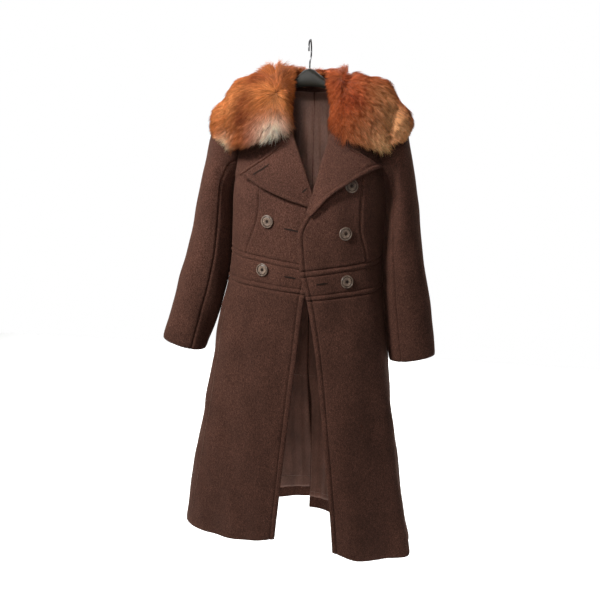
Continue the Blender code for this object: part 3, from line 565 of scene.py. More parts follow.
def collar_grid():
    """The collar's lines from the left front round the back to the right front."""
    lines = []
    found = {"thick": [], "rise": [], "lap": [], "clear": []}
    names = list(COLLAR_FRONT)
    front = list(stations_of(COLLAR_FRONT, names))
    back = list(stations_of(COLLAR_BACK, names))
    order = [("left", False, s) for s in front] + [("left", True, s) for s in back]
    order += [("right", True, s) for s in back[-2::-1]]
    order += [("right", False, s) for s in front[::-1]]
    for side, behind, station in order:
        lines.append(collar_line(side, behind, station))
        for name, values in found.items():
            values.append(station[name])
    points = np.array(lines)
    normals = grid_normals(points, points.mean((0, 1)) - [0, 0, 10 * CM])
    for shoulder in (len(front) - 1, len(points) - len(front)):
        normals[shoulder, :, 1] = 0
        normals[shoulder] = unit(normals[shoulder])
    given = {name: np.array(values)[:, None] for name, values in found.items()}
    return points, normals, given


def collar_surfaces():
    """The fur's under and upper grids, and the stand's outer and inner grids.

    Across the collar both fur grids start over the neck, inside the stand's top edge, and
    come down its outer face to the coat. From there the upper one stands off by COLLAR_HEIGHT.
    """
    points, normals, given = collar_grid()
    across = np.linspace(0, 1, points.shape[1])
    away_from = COLLAR_HUG + (given["clear"] - COLLAR_HUG) * np.clip(across * 5, 0, 1)
    height = column_at(COLLAR_HEIGHT, "share", "part", across)
    under = points + normals * away_from[..., None]
    over = under + normals * (given["thick"] * height)[..., None]
    up = np.array([0, 0, 1.0])
    inward = unit((np.array([BODY_CENTRE, 0, 0]) - points[:, 0]) * [1, 1, 0])
    top = under[:, 0] + up * (given["rise"] + 1 * MM)
    inside = top + inward * (STAND + FUR_TURN + FUR_TURN_LEAN * given["rise"])
    low = inside + inward * given["lap"] * 0.7 - up * given["lap"] * 0.3
    rim = low + inward * given["lap"] * 0.25 + up * (0.5 * CM + 0.35 * given["lap"])
    crown = inside + up * 1.1 * CM
    shoulder = (top + over[:, 0]) / 2 + up * 0.9 * CM
    under = np.concatenate([np.stack([low, inside, top], 1), under], 1)
    over = np.concatenate([np.stack([rim, crown, shoulder], 1), over], 1)
    some = given["rise"][:, 0] > STAND_FROM
    inward = inward[some]
    seat = under[some, 3] + inward * 0.9 * MM
    lean = (inward * FUR_TURN_LEAN + up) * (given["rise"][some] - STAND_SHORT)
    base = points[some, 0] + inward * 0.5 * MM + up * 1.5 * MM
    outer = np.stack([base, seat, seat + lean / 2, seat + lean], 1)
    return under, over, outer, outer + inward[:, None] * STAND


def add(tree, kind, settings=(), links=()):
    """Adds a node. settings and links are (name or number of an input, value or socket)."""
    made = tree.nodes.new(kind)
    for name, value in dict(settings).items():
        if isinstance(name, str) and name not in made.inputs:
            setattr(made, name, value)
        else:
            made.inputs[name].default_value = value
    for name, source in dict(links).items():
        tree.links.new(source, made.inputs[name])
    return made


def linear(colour):
    """An sRGB hex value as linear red, green, blue and alpha."""
    shares = [int(colour[i : i + 2], 16) / 255 for i in (0, 2, 4)]
    return (*[c / 12.92 if c < 0.04045 else ((c + 0.055) / 1.055) ** 2.4 for c in shares], 1.0)


def blank(name, **settings):
    """A new material with its tree and shader, the shader's own sockets set."""
    made = bpy.data.materials.new(name)
    made.use_nodes = True
    shader = made.node_tree.nodes["Principled BSDF"]
    for socket, value in settings.items():
        shader.inputs[socket.replace("_", " ")].default_value = value
    return made, made.node_tree, shader


def mixed(tree, share, first, second):
    """The colour between two, each a hex value or a socket, at a share from 0 to 1."""
    settings, links = {"data_type": "RGBA"}, {0: share}
    for end, value in ((6, first), (7, second)):
        if isinstance(value, str):
            settings[end] = linear(value)
        else:
            links[end] = value
    return add(tree, "ShaderNodeMix", settings, links).outputs[2]


def spread(tree, value, low, high):
    """A value from low to high, stretched to run from 0 to 1."""
    settings = {"From Min": low, "From Max": high}
    return add(tree, "ShaderNodeMapRange", settings, {"Value": value}).outputs["Result"]


def noise(tree, place, size, detail=2.0, rough=0.5):
    """Noise whose grains are about size metres across."""
    settings = {"Scale": 1 / size, "Detail": detail, "Roughness": rough}
    return add(tree, "ShaderNodeTexNoise", settings, {"Vector": place}).outputs["Fac"]


def surface(tree, shader, colour, height, depth, strength=1.0):
    """Gives a shader its colour and the relief of its surface."""
    tree.links.new(colour, shader.inputs["Base Color"])
    settings = {"Strength": strength, "Distance": depth}
    made = add(tree, "ShaderNodeBump", settings, {"Height": height})
    tree.links.new(made.outputs["Normal"], shader.inputs["Normal"])


def stretched(tree, x=1, y=1, z=1):
    """Object coordinates with each axis made denser by a factor."""
    place = add(tree, "ShaderNodeTexCoord").outputs["Object"]
    return add(tree, "ShaderNodeMapping", {"Scale": (x, y, z)}, {"Vector": place}).outputs[0]


def wool_coating(name, dark, mid, light):
    """Melton coating of mixed brown yarns, milled and brushed: a short nap that lies down
    the coat hides the weave, mottles the colour fibre by fibre and gives no shine. The
    fibres are 0.02 mm thick, drawn as locks of 2 to 5 mm so that they show."""
    made, tree, shader = blank(
        name,
        Roughness=0.95,
        Specular_IOR_Level=0.15,
        Sheen_Weight=0.25,
        Sheen_Roughness=0.45,
        Sheen_Tint=linear("8A6653"),
    )
    down = stretched(tree, z=0.45)
    even = stretched(tree)
    locks = noise(tree, down, 3.4 * MM, 4, 0.7)
    fibres = noise(tree, down, 1.3 * MM, 2, 0.6)
    wear_and_painted_light = noise(tree, even, 70 * MM, 2)
    colour = mixed(tree, spread(tree, locks, 0.25, 0.75), dark, mid)
    colour = mixed(tree, spread(tree, fibres, 0.45, 0.95), colour, light)
    colour = mixed(tree, spread(tree, wear_and_painted_light, 0.35, 1.5), colour, dark)
    height = add(tree, "ShaderNodeMath", {"operation": "ADD"}, {0: locks, 1: fibres}).outputs[0]
    surface(tree, shader, colour, height, 0.7 * MM, 0.6)
    return made


def fox_hair(name):
    """Fox guard hair, dressed and combed: each hair carries its own colour, darkened at the
    root as painted shade among the hairs and lightened at the tip as painted light, with the soft
    gloss of a smooth cuticle."""
    made, tree, shader = blank(name, Roughness=0.6, Specular_IOR_Level=0.1)
    own = add(tree, "ShaderNodeAttribute", {"attribute_name": "hair"}).outputs["Color"]
    tree.links.new(own, shader.inputs["Base Color"])
    return made


def fox_skin(name):
    """The dense underfur that shows between the guard hairs: dull, dark rust."""
    made, tree, shader = blank(name, Roughness=0.9, Specular_IOR_Level=0.1)
    down = noise(tree, stretched(tree, z=0.4), 2.5 * MM, 3)
    colour = mixed(tree, spread(tree, down, 0.3, 0.7), "4A2412", "8A4A26")
    surface(tree, shader, colour, down, 2 * MM)
    return made


def satin(name):
    """Acetate lining satin: fine smooth threads give a soft sheen across the folds."""
    made, tree, shader = blank(name, Roughness=0.5, Specular_IOR_Level=0.25)
    weave = noise(tree, stretched(tree, z=0.2), 1.2 * MM, 2)
    cloud = noise(tree, stretched(tree, z=0.5), 40 * MM, 2)
    share = add(tree, "ShaderNodeMath", {"operation": "MULTIPLY"}, {0: weave, 1: cloud})
    colour = mixed(tree, spread(tree, share.outputs[0], 0.1, 0.45), "5C3F33", "8A6050")
    surface(tree, shader, colour, weave, 0.15 * MM, 0.4)
    return made


def horn(name):
    """Polished buffalo horn: grey-brown layers in soft streaks under a clear polish. The
    raised rings are painted pale as painted highlight, and the groove, bores, outer edge and
    underside are painted dark as painted shade."""
    made, tree, shader = blank(
        name, Roughness=0.36, Specular_IOR_Level=0.4, Coat_Weight=0.12, Coat_Roughness=0.2
    )
    streak = noise(tree, stretched(tree, y=0.6, z=0.35), 5 * MM, 3)
    fleck = noise(tree, stretched(tree), 1.2 * MM, 2)
    colour = mixed(tree, spread(tree, streak, 0.35, 0.68), "57443A", "8E7868")
    colour = mixed(tree, spread(tree, fleck, 0.5, 0.8), colour, "C4B09C")
    # painted light and shade of the buttons: 0 gives the near-black painted shade, 1 the lit horn
    # colour
    wear_and_painted_light = add(tree, "ShaderNodeAttribute", {"attribute_name": "wear_and_painted_light"}).outputs["Fac"]
    colour = mixed(tree, wear_and_painted_light, "1C130E", colour)
    surface(tree, shader, colour, fleck, 0.05 * MM, 0.3)
    return made


def polyester_thread(name, dark, light):
    """Buttonhole and topstitching thread: twisted, with a slight lustre."""
    made, tree, shader = blank(name, Roughness=0.65, Specular_IOR_Level=0.15)
    twist = noise(tree, stretched(tree), 0.9 * MM, 2)
    colour = mixed(tree, spread(tree, twist, 0.35, 0.65), dark, light)
    surface(tree, shader, colour, twist, 0.1 * MM, 0.5)
    return made


def polypropylene(name):
    """Moulded polypropylene in a dark olive black: low gloss with a fine spark-eroded grain."""
    made, tree, shader = blank(name, Roughness=0.5, Specular_IOR_Level=0.25, IOR=1.49)
    grain = noise(tree, stretched(tree), 0.8 * MM, 2)
    colour = mixed(tree, spread(tree, grain, 0.3, 0.7), "14120D", "24211A")
    surface(tree, shader, colour, grain, 0.04 * MM, 0.5)
    return made


def steel_wire(name):
    """Drawn and blackened steel wire: fine lines along it and worn bright spots."""
    made, tree, shader = blank(name, Metallic=1.0, Roughness=0.32)
    drawn = noise(tree, stretched(tree, z=0.1), 0.7 * MM, 2)
    colour = mixed(tree, spread(tree, drawn, 0.4, 0.8), "3A3A3A", "77757A")
    surface(tree, shader, colour, drawn, 0.03 * MM, 0.4)
    return made


WOOL_CLOTH = wool_coating("melton_wool", "2C1B15", "56372C", "8C5F50")
# a lighter copy of the melton, used only for the side seam's edge as a painted highlight
SEAM_HIGHLIGHT_WOOL = wool_coating("melton_painted_highlight", "533A2F", "77594A", "A68B7A")
FOX_HAIR = fox_hair("fox_guard_hair")
FOX_SKIN = fox_skin("fox_underfur")
SATIN = satin("acetate_satin")
HORN = horn("buffalo_horn")
THREAD = polyester_thread("polyester_thread", "1E130D", "3E291F")
LOOP_THREAD = polyester_thread("buttonhole_twist", "1B100B", "3A261C")
LINING_THREAD = polyester_thread("lining_thread", "8A6E5E", "B49A88")
# a near-black copy of the thread for the buttonhole slits: painted shade in the cut
SLIT_SHADE = polyester_thread("slit_painted_shade", "0E0907", "1A120E")
BLACK_PLASTIC = polypropylene("moulded_polypropylene")
WIRE = steel_wire("blackened_steel_wire")


def put(name, data):
    """A new object in the scene."""
    made = bpy.data.objects.new(name, data)
    bpy.context.scene.collection.objects.link(made)
    return made


def add_piece(name, points, faces, finish, slot, nodes=()):
    """A mesh object that rides on the coat and stands for some of its solids."""
    mesh = bpy.data.meshes.new(name)
    faces = np.asarray(faces)
    starts = np.arange(0, faces.size, faces.shape[1], dtype=np.int32)
    mesh.vertices.add(len(points))
    mesh.vertices.foreach_set("co", np.ascontiguousarray(points, np.float32).ravel())
    mesh.loops.add(faces.size)
    mesh.loops.foreach_set("vertex_index", faces.astype(np.int32).ravel())
    mesh.polygons.add(len(faces))
    mesh.polygons.foreach_set("loop_start", starts)
    mesh.update(calc_edges=True)
    mesh.validate()
    mesh.materials.append(finish)
    mesh.shade_smooth()
    made = put(name, mesh)
    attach(made, "root")
    if nodes:
        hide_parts(*nodes)
    return made


def off_the_rim(points):
    """For each point of a grid's rim, the direction that leads off the grid."""
    out = np.zeros_like(points)
    for axis in (0, 1):
        grid = np.moveaxis(points, axis, 0)
        way = np.moveaxis(out, axis, 0)
        for rim, inside in ((0, 1), (-1, -2)):
            way[rim] += unit(grid[rim] - grid[inside])
    return unit(out)


def loop_of(rows, columns):
    """The numbers of the points round a grid's rim."""
    corner = np.arange(rows * columns).reshape(rows, columns)
    return np.concatenate([corner[0, :-1], corner[:-1, -1], corner[-1, :0:-1], corner[:0:-1, 0]])


def wall(outer, inner, bulge, steps=3):
    """A closed wall between two grids. Its rim swells by bulge times the sine of the way
    from one to the other, as the fold of a turned edge does."""
    rows, columns = outer.shape[:2]
    count = rows * columns
    front = grid_faces(rows, columns)
    loop = loop_of(rows, columns)
    off = off_the_rim(outer).reshape(-1, 3)[loop]
    first = outer.reshape(-1, 3)
    last = inner.reshape(-1, 3)
    share = (np.arange(1, steps) / steps)[:, None, None]
    rims = first[loop] * (1 - share) + last[loop] * share + off * bulge * np.sin(math.pi * share)
    rings = [loop] + [2 * count + i * len(loop) + np.arange(len(loop)) for i in range(steps - 1)]
    rings.append(loop + count)
    sides = [
        np.stack([a, np.roll(a, -1), np.roll(b, -1), b], -1) for a, b in zip(rings, rings[1:])
    ]
    faces = np.concatenate([front, front[:, ::-1] + count, *sides])
    points = np.concatenate([first, last, rims.reshape(-1, 3)])
    a, b, c, d = (points[faces[:, i]] for i in range(4))
    volume = (np.cross(a, b) * c).sum() + (np.cross(a, c) * d).sum()
    return points, faces if volume > 0 else faces[:, ::-1]


# Soft ripples of hung cloth, each a plane wave: waves for each metre in x, y and z, the
# phase, and the height in millimetres. They run mostly upright, as a coat's folds do.
SWAY = (
    (6.1, 3.0, 1.1, 0.4, 1.5),
    (9.3, -4.0, -1.6, 2.1, 1.0),
    (13.7, 6.0, 2.3, 4.4, 0.7),
    (3.2, 9.0, 4.8, 1.3, 0.9),
    (19.0, -8.0, 5.1, 5.2, 0.35),
    (7.0, 5.0, 11.0, 3.3, 0.4),
    (26.0, 14.0, -9.0, 0.9, 0.22),
)


def sway(points):
    """How far the cloth stands off its plain surface: the sum of the waves in SWAY. It
    fades at the sides, where the sleeves hang against the body."""
    total = np.zeros(points.shape[:-1])
    for x, y, z, phase, height in SWAY:
        total += height * MM * np.sin(2 * math.pi * (points @ np.array([x, y, z])) + phase)
    side = (np.abs(points[..., 0]) - 18.5 * CM) / (3 * CM)
    side = side**2 + (points[..., 1] / (4 * CM)) ** 2
    return total * np.clip(side, 0.1, 1)


PANEL_WIDTH = {
    name: np.linalg.norm(np.diff(curves, axis=1), axis=-1).sum(1)
    for name, (knots, curves) in SECTIONS.items()
}


def width_at(panel, row):
    """The length of a panel's section at each row, from its inner edge to its side."""
    return np.interp(row, SECTIONS[panel][0], PANEL_WIDTH[panel])


# Distances in millimetres from an edge at which a grid has its lines: the finer list is
# for an edge with a row of topstitching 12 mm in.
STITCH_IN = 12.0
NEAR = {
    "seam": (0, 0.7, 1.7, 3, 5, 8, 13),
    "hem": (0, 0.8, 2, 4, 8, 14),
    "stitched": (0, 0.8, 2, 4, 7, 10, 11.2, 12, 12.8, 14, 18),
}
NEAR["banded"] = NEAR["stitched"]


def places_between(length, start, end, step):
    """Distances from 0 to length, close together at both ends and even between."""
    near = np.array(NEAR[start]) * MM
    far = length - np.array(NEAR[end])[::-1] * MM
    count = max(int(round((far[0] - near[-1]) / step)), 2)
    return np.concatenate([near, np.linspace(near[-1], far[0], count + 1)[1:-1], far])


def edge_relief(kind, away):
    """The cloth's height at a distance from an edge. A seam draws it down in a narrow
    valley with a slight swell beside it; topstitching presses a line 12 mm in, with the
    turned edge puffed between; a hem rolls away."""
    mm = away / MM
    seam = -2.1 * np.exp(-((mm / 2.6) ** 2)) + 0.6 * np.exp(-(((mm - 6) / 3.5) ** 2))
    inside = np.clip(mm / STITCH_IN, 0, 1)
    pressed = -1.8 * np.exp(-(((mm - STITCH_IN) / 1.9) ** 2)) + 1.1 * np.sin(math.pi * inside)
    found = {
        "seam": seam,
        "hem": -0.8 * np.exp(-((mm / 3.0) ** 2)),
        "stitched": pressed - 0.5 * np.exp(-((mm / 2.0) ** 2)),
        "banded": pressed + seam,
    }[kind]
    return found * MM


def row_places(panel, first, last, middle, top, bottom, step):
    """The rows of a piece, from the lengths along its middle line."""
    rows = np.linspace(first, last, 200)
    length = lengths_along(panel_point(panel, np.full(200, middle), rows))
    places = places_between(length[-1], top, bottom, step)
    return np.interp(places, length, rows), places, length[-1]


# The wool pieces of the body: panel, the lines that it runs between (0 the inner edge, 1
# the shaping seam, 2 the side), its rows, and its start, end, top and bottom edges.
CUT_PIECES = {
    "front_bodice": ("front", 0, 1, 0, 6, "stitched", "seam", "seam", "seam"),
    "side_front": ("front", 1, 2, 0, 6, "seam", "seam", "seam", "seam"),
    "waistband_front": ("front", 0, 2, 6, 7, "stitched", "seam", "banded", "banded"),
    "skirt_front": ("front", 0, 2, 7, 11, "stitched", "seam", "seam", "hem"),
    "back_bodice": ("back", 0, 2, 0, 6, "seam", "seam", "seam", "seam"),
    "waistband_back": ("back", 0, 2, 6, 7, "seam", "seam", "banded", "banded"),
    "skirt_back": ("back", 0, 2, 7, 11, "seam", "seam", "seam", "hem"),
}
SIDE_SWELL = 3.6 * MM  # how far the bodice swells at its side seam, against the sleeve
HIP_SWELL = 4.5 * MM  # the same of the right side seam below the waistband


def line_u(panel, line, row):
    """The place along a panel of its inner edge (0), shaping seam (1) or side (2)."""
    if line == 1:
        return column_at(PRINCESS, "row", "share", row)
    return np.full(np.shape(row), line / 2)


def cloth_grid(panel, spec, step=7 * MM):
    """Points and normals of a piece, with its distances from its four edges."""
    _, first, last, top_row, bottom_row, start, end, top, bottom = spec
    middle = float((line_u(panel, first, 3.0) + line_u(panel, last, 3.0)) / 2)
    rows, down, tall = row_places(panel, top_row, bottom_row, middle, top, bottom, step)
    low, high = line_u(panel, first, rows), line_u(panel, last, rows)
    width = width_at(panel, rows)
    wide = (high - low) * width
    count = len(places_between(wide.max(), start, end, step))
    inner = count - len(NEAR[start]) - len(NEAR[end]) + 1
    near = np.array(NEAR[start]) * MM
    far = np.array(NEAR[end])[::-1] * MM
    part = np.linspace(0, 1, inner + 1)[None, 1:-1]
    fit = np.minimum(1, wide / (near[-1] + far[0] + 10 * MM))[:, None]
    left = near[None] * fit
    right = wide[:, None] - far[None] * fit
    between = left[:, -1:] * (1 - part) + right[:, :1] * part
    across = np.concatenate([left, between, right], 1)
    u = low[:, None] + across / width[:, None]
    row = np.broadcast_to(rows[:, None], u.shape)
    points = panel_point(panel, u, row)
    normals = grid_normals(points, body_centre(points))
    edges = (across, wide[:, None] - across, down[:, None], tall - down[:, None])
    height = sum(edge_relief(kind, away) for kind, away in zip((start, end, top, bottom), edges))
    if last == 2:
        swell = np.exp(-((edges[1] / (24 * MM)) ** 2)) * np.clip(5.9 - row, 0, 1)
        height = height + SIDE_SWELL * swell * np.clip(2 * row - 0.8, 0, 1)
        if panel.endswith("right"):
            near_seam = np.exp(-((edges[1] / (30 * MM)) ** 2))
            height = height + HIP_SWELL * near_seam * np.exp(-(((row - 7.3) / 0.75) ** 2))
    return points, normals, height + 0 * u


def add_cloth(name, points, normals, height, nodes, thick=WOOL, bulge=0.6 * MM):
    """One cut piece of wool as a closed wall with softly turned edges."""
    base = draw_in(points, 0.5 * MM)
    outer = base + normals * (height + sway(points))[..., None]
    inner = base + normals * (sway(points) - thick)[..., None]
    made = add_piece(name, *wall(outer, inner, bulge), WOOL_CLOTH, "wool", nodes)
    return made


def add_body():
    for side in ("left", "right"):
        for name, spec in CUT_PIECES.items():
            panel = f"{spec[0]}_{side}"
            points, normals, height = cloth_grid(panel, spec)
            add_cloth(f"{name}_{side}_cloth", points, normals, height, [f"{name}_{side}"])


# Creases of the sleeves: ring and turn (degrees) of the middle, half-length in rings,
# half-width in degrees, slant, and depth in millimetres.
SLEEVE_CREASES = (
    (3.2, 60, 0.9, 26, 0.5, -2.2),
    (4.1, 100, 0.8, 24, -0.6, -2.0),
    (4.9, 50, 0.7, 30, 0.7, -1.8),
    (5.5, 95, 0.6, 24, 0.5, -1.6),
    (6.4, 40, 0.8, 26, -0.4, -1.3),
    (2.6, 120, 0.7, 22, 0.4, -1.8),
    (5.2, -60, 0.8, 30, 0.5, -1.8),
    (4.2, -100, 0.8, 26, -0.5, -1.6),
)


def sleeve_relief(ring, turn, side):
    """Soft creases, each a bell in ring and turn whose axis slants across the sleeve."""
    total = np.zeros_like(ring)
    degrees = np.degrees(turn)
    for at, middle, long, wide, slant, depth in SLEEVE_CREASES:
        along = (ring - at + 0.15 * side) / long
        over = (degrees - middle - 30 * slant * along) / wide
        total += depth * MM * np.exp(-(along**2) - over**2)
    return total


SLEEVE_PARTS = (("top_sleeve", -120, 120), ("under_sleeve", 120, 240))  # turns in degrees
SLEEVE_RINGS = np.concatenate(
    [np.linspace(0, 1, 6), np.linspace(1, 7.7, 52)[1:], [7.82, 7.92, 8]]
)
SLEEVE_LINES = 26  # for each 100 degrees round the sleeve
SLEEVE_LEAN = {"left": 3 * MM, "right": 4.6 * MM}  # how far it swells against the body


def sleeve_grid(sleeve, rings, turns):
    """Rings, turns, points and normals of a grid on a sleeve."""
    ring, turn = np.meshgrid(rings, turns, indexing="ij")
    points = sleeve_point(sleeve, ring, turn)
    outer, inner = (sleeve_point(sleeve, ring, 0 * turn + at) for at in (0, math.pi))
    return ring, turn, points, grid_normals(points, (outer + inner) / 2)


def add_sleeves():
    edge = math.radians(1.0)
    seam = np.array([0, edge, 2 * edge])
    for side, sleeve in SLEEVES.items():
        for name, first, last in SLEEVE_PARTS:
            wide = math.radians(last - first)
            inside = np.linspace(4 * edge, wide - 4 * edge, SLEEVE_LINES * (last - first) // 100)
            turns = np.concatenate([seam, inside, wide - seam[::-1]]) + math.radians(first)
            ring, turn, points, normals = sleeve_grid(sleeve, SLEEVE_RINGS, turns)
            across = np.minimum(turn - turn.min(), turn.max() - turn) * 65 * MM
            height = edge_relief("seam", across) + sleeve_relief(ring, turn, side == "left")
            height += edge_relief("seam", ring * 15 * MM) + edge_relief("hem", (8 - ring) * 90 * MM)
            facing = np.exp(-(((np.degrees(turn) - 178) / 45) ** 2))
            reach = np.clip(4 * ring + 0.2, 0, 1) * np.clip((8.4 - ring) / 1.6, 0, 1)
            height += SLEEVE_LEAN[side] * facing * reach
            node = f"{name}_{side}"
            add_cloth(f"{node}_cloth", points, normals, height, [node])


def lapel_surface(side, down, across):
    """The lapel's outer face, from the facing inside the front, round the roll and out to
    the lapel's edge. Each line down the roll is a flat run behind the front, a half round
    of radius ROLL about the front's edge, and a run over the front that rises by LAPEL_LIFT."""
    panel = f"front_{side}"
    part = down[:, None]
    roll, edge_u, edge_row = (
        column_at(LAPELS[side], "part", name, part) for name in ("row", "u", "edge_row")
    )
    zero = np.zeros_like(roll)
    edge = panel_point(panel, zero, roll)
    normal = panel_normal(panel, zero, roll)
    ahead = unit(edge - panel_point(panel, zero + 0.02, roll))
    width = width_at(panel, roll)
    back = np.linspace(32 * MM, 1 * MM, 6)[None]
    behind = panel_point(panel, back / width, roll + 0 * back)
    behind += panel_normal(panel, back / width, roll + 0 * back) * (ROLL_HEIGHT - ROLL)
    angle = np.radians(np.linspace(-72, 72, 9))[None, :, None]
    turned = edge + ahead * ROLL * np.cos(angle) + normal * (ROLL_HEIGHT + ROLL * np.sin(angle))
    out = across[None]
    row = roll + (edge_row - roll) * out
    over = panel_point(panel, edge_u * out, row)
    lift = LAPEL_LIFT * out**0.8 * np.sqrt(1 - 0.9 * part)
    lift = lift + 9 * MM * out**2 * np.sin(math.pi * np.clip(part * 0.8 + 0.2, 0, 1))
    lift = lift + 1.5 * MM * np.sin(math.pi * out) * (1 - part)
    over += panel_normal(panel, edge_u * out, row) * (ROLL_HEIGHT + ROLL + lift)[..., None]
    return np.concatenate([behind, turned, over], 1), len(back[0]) + angle.size


def add_lapels():
    near = np.array(NEAR["stitched"]) * MM
    down = np.concatenate([near / LAPEL_LONG, np.linspace(near[-1] / LAPEL_LONG, 1, 34)[1:]])
    at_edge = 1 - near[::-1] / LAPEL_WIDE
    across = np.concatenate([np.linspace(0.02, at_edge[0], 20), at_edge[1:]])
    for side in LAPELS:
        points, seam = lapel_surface(side, down, across)
        normals = unit(np.cross(np.gradient(points, axis=0), np.gradient(points, axis=1)))
        normals *= -np.sign(normals[:, seam:, 1].sum())
        lapel_part = np.clip((np.arange(points.shape[1]) - seam) / 6, 0, 1)[None]
        size = np.linalg.norm(points[:, -1] - points[:, seam], axis=-1)[:, None]
        edge_away = np.concatenate([np.full(seam, 1.0), 1 - across])[None] * size
        top_away = down[:, None] * LAPEL_LONG + 0 * edge_away
        height = edge_relief("stitched", edge_away) + edge_relief("stitched", top_away)
        height = height * lapel_part * np.clip(size / (40 * MM), 0, 1)
        thick = (1.8 + 1.8 * lapel_part) * MM
        outer = points + normals * height[..., None]
        inner = points - normals * (thick + 0 * height)[..., None]
        node = f"lapel_{side}"
        body = wall(outer, inner, 0.9 * MM)
        made = add_piece(f"{node}_cloth", *body, WOOL_CLOTH, "wool", [node])


def smooth_grid(points, rows, columns):
    """A grid drawn through another's points by Catmull-Rom curves, both ways."""
    for axis, count in ((0, rows), (1, columns)):
        grid = np.moveaxis(points, axis, 0)
        grid = np.concatenate([2 * grid[:1] - grid[1:2], grid, 2 * grid[-1:] - grid[-2:-1]])
        at = np.linspace(0, len(grid) - 3, count)
        low = np.minimum(at.astype(int), len(grid) - 4)
        t = (at - low).reshape(-1, *[1] * (grid.ndim - 1))
        a, b, c, d = (grid[low + i] for i in range(4))
        drawn = b + (c - a) * t / 2 + (a - 2.5 * b + 2 * c - d / 2) * t**2
        drawn += (1.5 * (b - c) + (d - a) / 2) * t**3
        points = np.moveaxis(drawn, 0, axis)
    return points


def relaxed(points, rounds):
    """A grid whose inner points are drawn halfway to the mean of their neighbours."""
    points = points.copy()
    for _ in range(rounds):
        near = points[:-2, 1:-1] + points[2:, 1:-1] + points[1:-1, :-2] + points[1:-1, 2:]
        points[1:-1, 1:-1] = points[1:-1, 1:-1] / 2 + near / 8
    return points


FUR_ROWS = 220
FUR_FULL = 90
FUR_COLUMNS = 83  # the skin stops short of the collar's edge, and the hair makes up the rest
PELT = 0.74  # the underfur's height, as a share of the collar's
# Where the combed hair fills or flattens the collar: place, reach and rise, in centimetres.
FUR_DRESSING = (
    (-8.6, 0.3, -6.3, 2.3, 2.9),
    (-6.4, 0, -5.0, 1.8, -1.2),
    (-18.4, 0, -8.8, 4.2, 2.0),
    (6.6, 0, -5.2, 2.4, -1.5),
    (8.8, 0.5, -6.2, 2.0, 2.2),
    (11.8, 0, -6.1, 2.2, -1.0),
    (19.0, 0, -8.8, 3.6, 2.7),
)
FUR_NARROW_FROM = 15 * CM  # beyond this the collar is drawn in towards the shoulders
FUR_SHORT_BELOW = -22 * CM  # below this its front corners are drawn up
# Patches of the fox's colour: centre and reach in centimetres, strength, and colour.
FUR_PATCHES = (
    (-16.6, -9.0, -15.0, 5.0, 0.8, "D68F55"),
    (-11.4, -5.6, -8.0, 2.9, 0.95, "682810"),
    (-13.2, -10.8, -13.9, 2.8, 0.95, "682810"),
    (-13.6, -12.6, -18.2, 2.6, 0.95, "682A14"),
    (-11.1, -14.4, -22.1, 2.2, 0.7, "8A4220"),
    (-7.0, -11.0, -14.0, 3.0, 0.8, "CF8A50"),
    (-5.6, -13.6, -22.4, 3.0, 1.0, "FAE2CC"),
    (-17.6, -10.2, -24.2, 2.0, 0.9, "EBCBAA"),
    (8.6, -5.7, -9.1, 2.4, 0.75, "7C2E15"),
    (11.5, -11.6, -14.0, 2.8, 0.85, "802F16"),
    (14.4, -13.9, -20.0, 2.6, 0.6, "98461F"),
    (18.8, -6.3, -11.8, 3.2, 0.6, "D69A64"),
    (20.4, -8.6, -17.3, 3.8, 0.8, "DEA672"),
    (21.8, -7.4, -21.5, 3.0, 0.8, "DAA270"),
    (17.6, -12.6, -23.7, 4.0, 0.95, "EDB07C"),
    (0.4, 9.0, -10.0, 5.0, 0.7, "7C2E15"),
    (-14.0, 9.0, -15.0, 5.0, 0.5, "C67E44"),
    (15.0, 9.0, -15.0, 5.0, 0.5, "C67E44"),
)
FUR_BASE = ("A65E30", "964A26")  # left and right of the middle


def fur_colour(points):
    """Each point's colour: the base of its side, drawn towards each patch by a bell."""
    right = np.clip((points[:, 0] / CM + 2) / 4, 0, 1)[:, None]
    left, other = (np.array(linear(c)[:3]) for c in FUR_BASE)
    colour = left * (1 - right) + other * right
    for x, y, z, reach, strength, value in FUR_PATCHES:
        away = np.linalg.norm(points - np.array([x, y, z]) * CM, axis=1)
        share = strength * np.exp(-((away / (reach * CM)) ** 2) * 0.7)
        colour = colour * (1 - share[:, None]) + np.array(linear(value)[:3]) * share[:, None]
    return colour


HAIR_STEPS = np.array([0.0, 0.3, 0.65, 1.0])
HAIR_WIDTH = np.array([1.0, 0.95, 0.6, 0.0])
# each hair's colour darkens towards the root as painted shade among the hairs and brightens towards
# the tip as painted light
HAIR_SHADE = np.array([0.6, 0.85, 1.05, 1.2])
HAIR_BRIGHT = 1.3  # the hair shades itself, so its own colour is lighter than it looks
TUFT_PULL = 0.4


